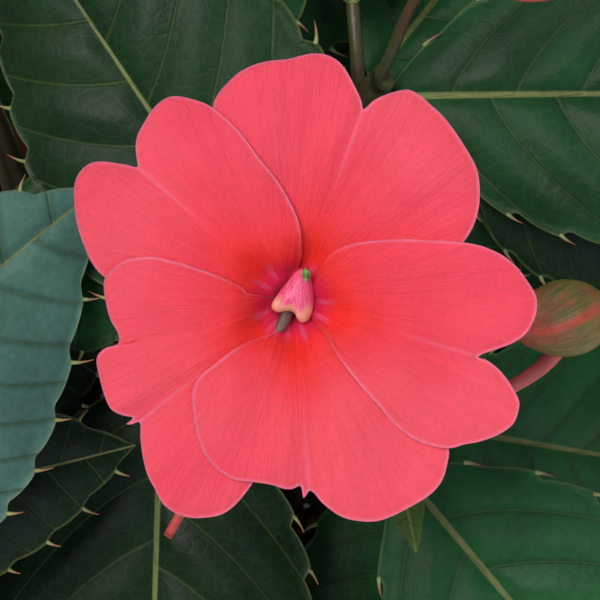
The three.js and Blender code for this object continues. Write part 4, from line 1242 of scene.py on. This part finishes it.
def grained(n, shader, scale, depth, height=0.0):
    """Gives the shader a grained surface over a height."""
    made = n.group(grain_group(), {"Scale": scale, "Depth": depth, "Height": height})
    n.feed(shader["Normal"], made["Normal"])


def scaled(colour, by):
    return tuple(c * by for c in colour)


def leaf_material(look):
    """Dark glossy blade with sunk veins and painted shade along them, a pale midrib, a paler underside, and a
    painted bluish sky sheen on one leaf.
    """
    material, n, shader = new_material(
        "Impatiens leaf", **soft(0.05, (0.1, 0.3, 0.06), 0.002), Specular_IOR_Level=0.16)
    under = n.value("under")
    wave = n.sum("PINGPONG", n.value("phase"), 0.5)
    lateral = n.ramp(wave, 0.0, 0.05, 1.0, 0.0)
    half = n.ramp(n.value("along"), 0.0, 1.0, 0.66, 0.2)
    midrib = n.ramp(n.sum("DIVIDE", n.sum("ABSOLUTE", n.value("rib")), half), 0.55, 1.15, 1.0, 0.0)
    cells = {"Vector": n.place(), "Scale": 420.0, "Randomness": 0.9}
    cells = n.add("TexVoronoi", cells, feature="DISTANCE_TO_EDGE")
    net = n.ramp(cells.outputs["Distance"], 0.0, 0.16, 1.0, 0.0)
    colour = n.layers(look.leaf, [
        # each leaf's own tone, set one by one for the front leaves; the low middle front leaf's deep tone is
        # painted shade
        (n.ramp(n.value("tone"), -1.0, 1.0), look.leaf_deep),
        (n.ramp(n.noise(26, 2), 0.35, 0.7, 0.0, 0.6), look.leaf_deep),
        # painted sheen: a bluish sky reflection laid into the colour of one leaf
        (n.times(n.value("cool"), 0.62), look.leaf_painted_sheen),
        # painted shade: darker along the side veins, which lie in the hollows of the quilted blade
        (n.ramp(wave, 0.0, 0.16, 0.35, 0.0), look.leaf_deep),
        (n.times(lateral, 0.26), look.leaf_vein),
        (n.times(net, 0.05), look.leaf_vein),
        (n.times(n.value("young"), 0.75), look.leaf_young),
        (n.times(midrib, 0.85), look.midrib),
        (n.ramp(n.value("rim"), 0.0, 0.7, 0.35, 0.0), look.midrib),
        (n.times(under, 0.8), look.leaf_under),
    ])
    clouds = mottled(n, shader, colour, 90.0, 0.14, 0.08)
    n.feed(shader["Roughness"], n.sum("MULTIPLY_ADD", under, 0.2, n.ramp(clouds, 0.0, 1.0, 0.4, 0.52)))
    sunk = n.sum("MULTIPLY_ADD", net, -0.00002, n.times(lateral, -0.00012))
    grained(n, shader, 500.0, 0.00009, sunk)
    return material


def stem_material(look):
    """Fleshy green stems, flushed red towards their joints."""
    material, n, shader = new_material(
        "Impatiens stem", **soft(0.12, (0.3, 0.25, 0.1), 0.002), Roughness=0.42)
    flush = n.ramp(n.noise(45, 3), 0.3, 0.58)
    flush = n.times(flush, n.ramp(n.value("along"), 0.1, 0.8, 0.9, 0.5))
    colour = n.mix(flush, look.stem, look.stem_flush)
    mottled(n, shader, colour, 160.0, 0.14, 0.12)
    grained(n, shader, 420.0, 0.00016)
    return material


def bristle_material(look):
    """The pale hooked bristles on the teeth of the leaves."""
    material, n, shader = new_material("Impatiens bristle", Roughness=0.45)
    colour = n.mix(n.ramp(n.value("along"), 0.15, 0.85), look.bristle, look.bristle_tip)
    mottled(n, shader, colour, 300.0, 0.25, 0.1)
    return material


def petal_material(look):
    """Velvety coral petals: red towards the throat with a magenta ring, fine veins and a pale rim."""
    material, n, shader = new_material(
        "Impatiens petal", **soft(0.25, (1.0, 0.22, 0.2), 0.0015), Sheen_Weight=0.04, Sheen_Roughness=0.45,
        Sheen_Tint=(1.0, 0.62, 0.66, 1), Specular_IOR_Level=0.15)
    radius, turn = n.value("radius"), n.value("turn")
    aside = n.sum("ABSOLUTE", turn)
    seed = n.times(n.value("tone"), 37.0)
    rays = n.noise(1.0, 2, n.vector(n.times(turn, 26.0), n.times(radius, 0.09), seed), warp=0.4)
    fine = n.noise(1.0, 3, n.vector(n.times(turn, 80.0), n.times(radius, 0.22), seed), warp=0.7)
    veins = n.ramp(n.sum("MULTIPLY_ADD", fine, 0.5, n.times(rays, 0.5)), 0.36, 0.64, -1.0, 1.0)
    reach = n.sum("SUBTRACT", n.sum("MULTIPLY_ADD", veins, 0.5, radius), n.ramp(aside, 0.0, 0.55, 3.4, 0.0))
    ring = n.ramp(n.sum("MULTIPLY_ADD", veins, 0.35, radius), 3.6, 7.0, 1.0, 0.0)
    flare = n.ramp(n.sum("ABSOLUTE", n.sum("SUBTRACT", aside, 0.24)), 0.02, 0.12, 1.0, 0.0)
    flare = n.times(n.times(flare, n.ramp(radius, 3.2, 4.4)), n.ramp(radius, 5.0, 7.0, 1.0, 0.0))
    crease = n.ramp(n.sum("ABSOLUTE", n.times(turn, radius)), 0.0, 0.5, 0.3, 0.0)
    colour = n.layers(look.petal, [
        (n.ramp(n.noise(34, 3), 0.36, 0.66), look.petal_light),
        (n.ramp(reach, 4.0, 15.0, 1.0, 0.0), look.petal_deep),
        (n.ramp(reach, 12.0, 26.0, 0.0, 0.3), look.petal_cool),
        (n.times(ring, 0.75), look.throat_ring),
        (n.times(flare, 0.4), look.throat_flare),
        (n.ramp(radius, 2.0, 3.9, 1.0, 0.0), look.throat),
        (n.times(crease, n.ramp(radius, 14.0, 24.0)), look.petal_rim),
    ])
    shade = n.sum("MULTIPLY_ADD", veins, 0.035, 1.0)
    veined = n.add("HueSaturation", {"Value": shade, "Color": colour}).outputs["Color"]
    edge = n.times(n.ramp(n.value("rim"), 0.05, 0.6, 0.6, 0.0), n.ramp(radius, 8.0, 14.0, 0.25, 1.0))
    colour = n.layers(veined, [(edge, look.petal_rim), (n.times(n.value("under"), 0.35), look.petal_under)])
    mottled(n, shader, colour, 140.0, 0.03, 0.03)
    n.feed(shader["Roughness"], n.ramp(veins, -1.0, 1.0, 0.5, 0.62))
    grained(n, shader, 900.0, 0.00008, n.times(veins, 0.00003))
    return material


def column_material(look):
    """The streaked pink hood, with its cream lobes, green tip and brown tongue."""
    material, n, shader = new_material(
        "Impatiens column", **soft(0.2, (1.0, 0.4, 0.35), 0.001), Roughness=0.5)
    streak = n.vector(n.times(n.value("streak"), 42.0), n.times(n.value("rim"), 3.0))
    streak = n.noise(1.0, 3, streak, warp=0.5)
    colour = n.layers(look.column, [
        (n.ramp(streak, 0.38, 0.62), look.column_light),
        (n.ramp(n.noise(2600, 2), 0.58, 0.68, 0.0, 0.55), look.column_streak),
        (n.ramp(n.value("rim"), 0.72, 1.0, 0.0, 0.5), look.column_light),
        (n.value("cream"), look.column_cream),
        (n.value("green"), n.mix(n.ramp(n.noise(900, 2), 0.4, 0.6), look.tip, look.tip_light)),
        (n.value("brown"), n.mix(n.value("along"), look.tongue, look.tongue_light)),
    ])
    mottled(n, shader, colour, 700.0, 0.07, 0.05)
    grained(n, shader, 1500.0, 0.00006)
    return material


def spur_material(look):
    """Pinkish red spurs that pale to green at their mouth."""
    material, n, shader = new_material(
        "Impatiens spur", **soft(0.2, (1.0, 0.35, 0.3), 0.0015), Roughness=0.42)
    along = n.value("along")
    colour = n.layers(look.spur, [
        (n.ramp(n.noise(260, 3), 0.35, 0.65), look.spur_light),
        (n.ramp(along, 0.0, 0.22, 0.7, 0.0), look.sepal),
        (n.ramp(along, 0.8, 1.0, 0.0, 0.6), look.spur),
        (n.value("sepal"), n.mix(n.ramp(n.noise(300, 2), 0.4, 0.6), look.sepal, look.stem)),
    ])
    mottled(n, shader, colour, 260.0, 0.12, 0.08)
    grained(n, shader, 800.0, 0.0001)
    return material


def bud_material(look):
    """Olive and tan sepals over furled coral petals, and a pink spur."""
    material, n, shader = new_material(
        "Impatiens bud", **soft(0.12, (0.8, 0.4, 0.25), 0.0015), Roughness=0.45)
    along = n.value("along")
    streaks = n.vector(n.times(n.value("around"), 5.0), n.times(along, 3.0))
    streaks = n.ramp(n.noise(1.0, 3, streaks), 0.35, 0.65)
    petal = n.layers(look.petal_deep, [(streaks, look.petal_light), (0.35, look.bud_tan)])
    colour = n.layers(look.bud, [
        (streaks, look.bud_tan),
        (n.ramp(along, 0.0, 0.3, 0.5, 0.0), look.sepal),
        (n.times(n.value("petal"), 0.8), petal),
        (n.times(n.ramp(n.noise(110, 2), 0.46, 0.62), 0.4), look.spur),
        (n.ramp(along, 0.6, 0.95, 0.0, 0.8), petal),
        (n.value("spur"), n.mix(n.ramp(along, 0.7, 1.0), look.spur_light, look.spur)),
    ])
    mottled(n, shader, colour, 260.0, 0.14, 0.08)
    grained(n, shader, 700.0, 0.00012)
    return material


def clay_material(look):
    """Terracotta with a damp foot, pale mineral bloom and pits."""
    material, n, shader = new_material("Clay", Specular_IOR_Level=0.3)
    height = n.add("SeparateXYZ", {0: n.place()}).outputs["Z"]
    bloom = n.ramp(n.noise(38, 5, rough=0.65), 0.5, 0.74)
    bloom = n.times(bloom, n.ramp(height, 0.0, 0.12, 0.55, 0.95))
    damp = n.ramp(n.sum("MULTIPLY_ADD", n.noise(22, 3), -0.03, height), 0.0, 0.035, 0.6, 0.0)
    colour = n.layers(look.clay, [
        (n.ramp(n.noise(60, 4), 0.25, 0.8), look.clay_light),
        (n.times(bloom, 0.45), look.clay_bloom),
        (damp, look.clay_damp),
    ])
    mottled(n, shader, colour, 45.0, 0.05, 0.04)
    n.feed(shader["Roughness"], n.ramp(damp, 0.0, 0.6, 0.85, 0.6))
    pits = n.ramp(n.noise(900, 2), 0.26, 0.34, -0.00012, 0.0)
    lines = n.noise(1.0, 2, n.vector(0.0, 0.0, n.times(height, 900.0)))
    relief = n.sum("MULTIPLY_ADD", lines, 0.00008, pits)
    grained(n, shader, 260.0, 0.00012, relief)
    return material


def crumb_material(name, dark, light, rough=0.95):
    """Loose matter: each lump has its own tone between a dark and a light colour."""
    material, n, shader = new_material(name, Roughness=rough, Specular_IOR_Level=0.2)
    mixed = n.sum("MULTIPLY_ADD", n.value("tone"), 0.35, n.noise(330, 4))
    colour = n.mix(n.ramp(mixed, 0.3, 0.85), dark, light)
    mottled(n, shader, colour, 320.0, 0.25, 0.2)
    grained(n, shader, 500.0, 0.0006)
    return material


# Settings, operators and the panel


def colour_setting(name, screen, description):
    """A colour, given with its 0 to 255 screen values."""
    return bpy.props.FloatVectorProperty(name=name, description=description, default=srgb(*screen), size=3,
                                         min=0, max=1, subtype="COLOR")


class ImpatiensLeafSettings(bpy.types.PropertyGroup):
    """Colours of leaves and stems."""

    leaf: colour_setting("Blade", (38, 94, 50), "Upper side of the leaves")
    # the deep blade colour is partly the leaves' own darker tone, partly painted shade in the vein hollows
    # and on the low middle front leaf
    leaf_deep: colour_setting("Blade, deep", (16, 36, 18), "Darker parts of the leaves")
    # painted sheen: the bluish sky reflection laid into one leaf's colour
    leaf_painted_sheen: colour_setting("Blade, bluish", (90, 130, 124), "Bluish cast of one leaf")
    leaf_vein: colour_setting("Veins", (84, 108, 56), "Side veins and their net")
    leaf_young: colour_setting("Young leaf", (84, 112, 48), "Leaves at the tips of the shoots")
    leaf_under: colour_setting("Underside", (92, 112, 78), "Lower side of the leaves")
    midrib: colour_setting("Midrib", (120, 128, 76), "Middle vein and margin")
    stem: colour_setting("Stem", (56, 68, 34), "Stems and leaf stalks")
    stem_flush: colour_setting("Stem flush", (98, 52, 36), "Red flush on the stems")
    bristle: colour_setting("Bristle", (150, 160, 100), "Foot of the bristles")
    bristle_tip: colour_setting("Bristle tip", (150, 98, 70), "Tip of the bristles")


class ImpatiensBloomSettings(bpy.types.PropertyGroup):
    """Colours of blooms and buds."""

    petal: colour_setting("Petal", (247, 67, 83), "Main colour of the petals")
    petal_light: colour_setting("Petal, light", (250, 84, 95), "Lighter clouds on the petals")
    petal_deep: colour_setting("Petal, deep", (253, 50, 44), "Red towards the throat")
    petal_cool: colour_setting("Petal, outer", (247, 88, 114), "Pinker colour of the outer part")
    petal_rim: colour_setting("Rim", (250, 132, 160), "Pale rim and creases")
    petal_under: colour_setting("Petal, back", (238, 104, 114), "Back of the petals")
    throat: colour_setting("Throat", (130, 10, 34), "Dark inside of the throat")
    throat_ring: colour_setting("Throat ring", (208, 22, 86), "Magenta ring round the throat")
    throat_flare: colour_setting("Flare", (236, 104, 150), "Pale violet flares by the throat")
    column: colour_setting("Column", (238, 62, 118), "Hood over the throat")
    column_light: colour_setting("Column, light", (248, 118, 152), "Paler streaks of the hood")
    column_streak: colour_setting("Column, streak", (206, 28, 78), "Dark dots of the hood")
    column_cream: colour_setting("Column, cream", (252, 178, 152), "Lobes of the hood")
    tip: colour_setting("Tip", (84, 128, 52), "Green tip behind the hood")
    tip_light: colour_setting("Tip, light", (150, 184, 112), "Pale part of the tip")
    tongue: colour_setting("Tongue", (78, 48, 44), "Tongue under the hood")
    tongue_light: colour_setting("Tongue, light", (128, 108, 98), "End of the tongue")
    spur: colour_setting("Spur", (176, 56, 54), "Spurs")
    spur_light: colour_setting("Spur, light", (204, 96, 88), "Paler parts of the spurs")
    sepal: colour_setting("Sepal", (150, 150, 92), "Small sepals")
    bud: colour_setting("Bud", (94, 106, 40), "Sepals of the buds")
    bud_tan: colour_setting("Bud, tan", (146, 112, 62), "Tan streaks of the buds")
    stem: colour_setting("Stalk", (98, 118, 60), "Green of the sepals")


class ImpatiensPotSettings(bpy.types.PropertyGroup):
    """Colours of the pot and its potting mix."""

    clay: colour_setting("Clay", (184, 112, 80), "Main colour of the pot")
    clay_light: colour_setting("Clay, light", (198, 130, 98), "Lighter clouds of the clay")
    clay_bloom: colour_setting("Mineral bloom", (206, 170, 148), "Pale deposit on the clay")
    clay_damp: colour_setting("Damp clay", (146, 88, 62), "Damp foot of the pot")
    mix: colour_setting("Mix", (38, 28, 20), "Dark crumbs")
    mix_light: colour_setting("Mix, light", (84, 64, 48), "Light crumbs")
    bark: colour_setting("Bark", (112, 74, 46), "Bark chips")
    perlite: colour_setting("Perlite", (224, 220, 210), "White lumps")


class ImpatiensStageSettings(bpy.types.PropertyGroup):
    """Light, floor and camera."""

    floor: colour_setting("Floor", (222, 220, 214), "Colour of the floor")
    sky: colour_setting("Sky", (206, 220, 240), "Colour of the light from all round")
    sky_strength: bpy.props.FloatProperty(name="Sky strength", description="Strength of the sky's light",
                                          default=0.38)
    key_power: bpy.props.FloatProperty(name="Key light", description="Power of the main lamp", default=146,
                                       unit="POWER")
    fill_power: bpy.props.FloatProperty(name="Fill light", description="Power of the second lamp", default=32,
                                        unit="POWER")
    distance: bpy.props.FloatProperty(name="Camera distance", description="From the bloom to the camera",
                                      default=0.35, unit="LENGTH")
    view_width: bpy.props.FloatProperty(name="View width", description="Width seen at the front bloom",
                                        default=0.08664, unit="LENGTH")


_plant = {}


def plant():
    """The plan of the plant, made once."""
    if not _plant:
        _plant.update(plan_plant())
    return _plant


class IMPATIENS_OT_pot(bpy.types.Operator):
    """Make the clay pot with its band and drain holes"""

    bl_idname = "impatiens.pot"
    bl_label = "Pot"

    def execute(self, context):
        clay = clay_material(context.scene.impatiens_pot)
        made = pot_shape().piece("impatiens_pot", [clay], "clay", "pot")
        turns = [2 * math.pi * (k + 0.5) / DRAIN["count"] for k in range(DRAIN["count"])]
        drill = Shape()
        for a in turns:
            at = np.array([DRAIN["ring"] * math.cos(a), DRAIN["ring"] * math.sin(a), 0])
            profile = np.array([(DRAIN["radius"], -POT["floor"]), (DRAIN["radius"], 2 * POT["floor"])], float)
            wheel(drill, lathe_grid(profile, 32) + at)
        bored(made, drill.bare("drill"))
        return {"FINISHED"}


class IMPATIENS_OT_mix(bpy.types.Operator):
    """Make the potting mix with its crumbs, bark and perlite"""

    bl_idname = "impatiens.mix"
    bl_label = "Potting mix"

    def execute(self, context):
        look = context.scene.impatiens_pot
        materials = [
            crumb_material("Potting mix", look.mix, look.mix_light),
            crumb_material("Bark", scaled(look.bark, 0.5), look.bark),
            crumb_material("Perlite", scaled(look.perlite, 0.7), look.perlite),
        ]
        soil_shape().piece("impatiens_mix", materials, "mix", "potting_mix")
        return {"FINISHED"}


class IMPATIENS_OT_shoots(bpy.types.Operator):
    """Make the leafy shoots with the stalks of their flowers"""

    bl_idname = "impatiens.shoots"
    bl_label = "Shoots"

    def execute(self, context):
        look = context.scene.impatiens_leaf
        materials = [leaf_material(look), stem_material(look), bristle_material(look)]
        for shoot in plant()["shoots"]:
            name = "shoot_" + shoot["name"]
            shoot_shape(plant(), shoot).piece("impatiens_" + name, materials, "foliage", name)
        return {"FINISHED"}


class IMPATIENS_OT_blooms(bpy.types.Operator):
    """Make the open blooms: petals, column and spur of each"""

    bl_idname = "impatiens.blooms"
    bl_label = "Blooms"

    def execute(self, context):
        look = context.scene.impatiens_bloom
        petal, column, spur = petal_material(look), column_material(look), spur_material(look)
        for number, each in enumerate(plant()["blooms"]):
            made = {"petals": (petals_shape(each, number), petal), "column": (column_shape(each), column),
                    "spur": (spur_shape(each), spur)}
            for kind, (shape, material) in made.items():
                name = kind + "_" + each["shoot"]
                shape.piece("impatiens_" + name, [material], kind, name)
        return {"FINISHED"}


class IMPATIENS_OT_buds(bpy.types.Operator):
    """Make the furled buds"""

    bl_idname = "impatiens.buds"
    bl_label = "Buds"

    def execute(self, context):
        material = bud_material(context.scene.impatiens_bloom)
        for each in plant()["buds"]:
            bud_shape(each).piece("impatiens_bud_" + each["shoot"], [material], "bud", "bud_" + each["shoot"])
        return {"FINISHED"}


# the lamps, each with the name of its setting for power
LAMPS = {
    "key": {"at": (-1.65, -0.95, 3.95), "aim": (0, -0.05, 0.2), "size": 3.0, "colour": (255, 250, 244)},
    "fill": {"at": (2.7, -2.7, 2.3), "aim": (0, 0, 0.2), "size": 3.6, "colour": (232, 240, 255)},
}
FLOOR_REACH = 9.0
NEAREST_SEEN = 0.01


def add_lamp(name, kind, power):
    lamp = bpy.data.lights.new(name, "AREA")
    lamp.shape, lamp.size, lamp.energy, lamp.color = "DISK", kind["size"], power, srgb(*kind["colour"])
    made = bpy.data.objects.new(name, lamp)
    bpy.context.scene.collection.objects.link(made)
    made.matrix_world = facing(kind["at"], kind["aim"])


def facing(at, aim):
    """The place and turn of a lamp or camera at one point that looks at another."""
    back = unit(np.array(at, float) - np.array(aim, float))
    right = unit(np.cross(UP, back))
    turn = np.array([right, np.cross(back, right), back]).T
    matrix = np.eye(4)
    matrix[:3, :3], matrix[:3, 3] = turn, at
    return Matrix(matrix.tolist())


class IMPATIENS_OT_stage(bpy.types.Operator):
    """Make the floor, the soft studio light and the camera"""

    bl_idname = "impatiens.stage"
    bl_label = "Stage"

    def execute(self, context):
        look = context.scene.impatiens_stage
        mesh = bpy.data.meshes.new("floor")
        corners = [(x * FLOOR_REACH, y * FLOOR_REACH, 0) for x, y in ((-1, -1), (1, -1), (1, 1), (-1, 1))]
        mesh.from_pydata(corners, [], [(0, 1, 2, 3)])
        material, n, shader = new_material("Floor", Roughness=0.8, Specular_IOR_Level=0.2)
        mottled(n, shader, look.floor, 4.0, 0.015, 0.01)
        mesh.materials.append(material)
        floor = bpy.data.objects.new("floor", mesh)
        context.scene.collection.objects.link(floor)

        world = bpy.data.worlds.new("Studio")
        world.use_nodes = True
        background = world.node_tree.nodes["Background"].inputs
        background["Color"].default_value = (*look.sky, 1)
        background["Strength"].default_value = look.sky_strength
        context.scene.world = world
        for name, kind in LAMPS.items():
            add_lamp(name, kind, getattr(look, name + "_power"))
        context.scene.view_settings.view_transform = "Standard"

        target = np.array(BLOOMS[0]["at"], float) * MM + [VIEW_SHIFT * MM, 0, 0]
        lens = bpy.data.cameras.new("camera")
        lens.sensor_fit = "HORIZONTAL"
        lens.angle = 2 * math.atan(look.view_width / 2 / look.distance)
        lens.clip_start = NEAREST_SEEN
        camera = bpy.data.objects.new("camera", lens)
        camera.matrix_world = facing(target + VIEW * look.distance, target)
        context.scene.collection.objects.link(camera)
        context.scene.camera = camera
        return {"FINISHED"}


STEPS = (IMPATIENS_OT_pot, IMPATIENS_OT_mix, IMPATIENS_OT_shoots, IMPATIENS_OT_blooms, IMPATIENS_OT_buds,
         IMPATIENS_OT_stage)
SETTINGS = (ImpatiensLeafSettings, ImpatiensBloomSettings, ImpatiensPotSettings, ImpatiensStageSettings)
SETTING_NAMES = ("impatiens_leaf", "impatiens_bloom", "impatiens_pot", "impatiens_stage")


class IMPATIENS_PT_panel(bpy.types.Panel):
    """The makers of the plant's pieces"""

    bl_idname = "IMPATIENS_PT_panel"
    bl_label = "Impatiens"
    bl_space_type = "VIEW_3D"
    bl_region_type = "UI"
    bl_category = "Impatiens"

    def draw(self, context):
        for step in STEPS:
            self.layout.operator(step.bl_idname)
        for name, group in zip(SETTING_NAMES, SETTINGS):
            box = self.layout.box()
            for key in group.__annotations__:
                box.prop(getattr(context.scene, name), key)


def register():
    for each in SETTINGS + STEPS + (IMPATIENS_PT_panel,):
        bpy.utils.register_class(each)
    for name, group in zip(SETTING_NAMES, SETTINGS):
        setattr(bpy.types.Scene, name, bpy.props.PointerProperty(type=group))


def unregister():
    for name in SETTING_NAMES:
        delattr(bpy.types.Scene, name)
    for each in reversed(SETTINGS + STEPS + (IMPATIENS_PT_panel,)):
        bpy.utils.unregister_class(each)


def main():
    register()
    bpy.ops.impatiens.pot()
    bpy.ops.impatiens.mix()
    bpy.ops.impatiens.shoots()
    bpy.ops.impatiens.blooms()
    bpy.ops.impatiens.buds()
    bpy.ops.impatiens.stage()


if __name__ == "__main__":
    main()
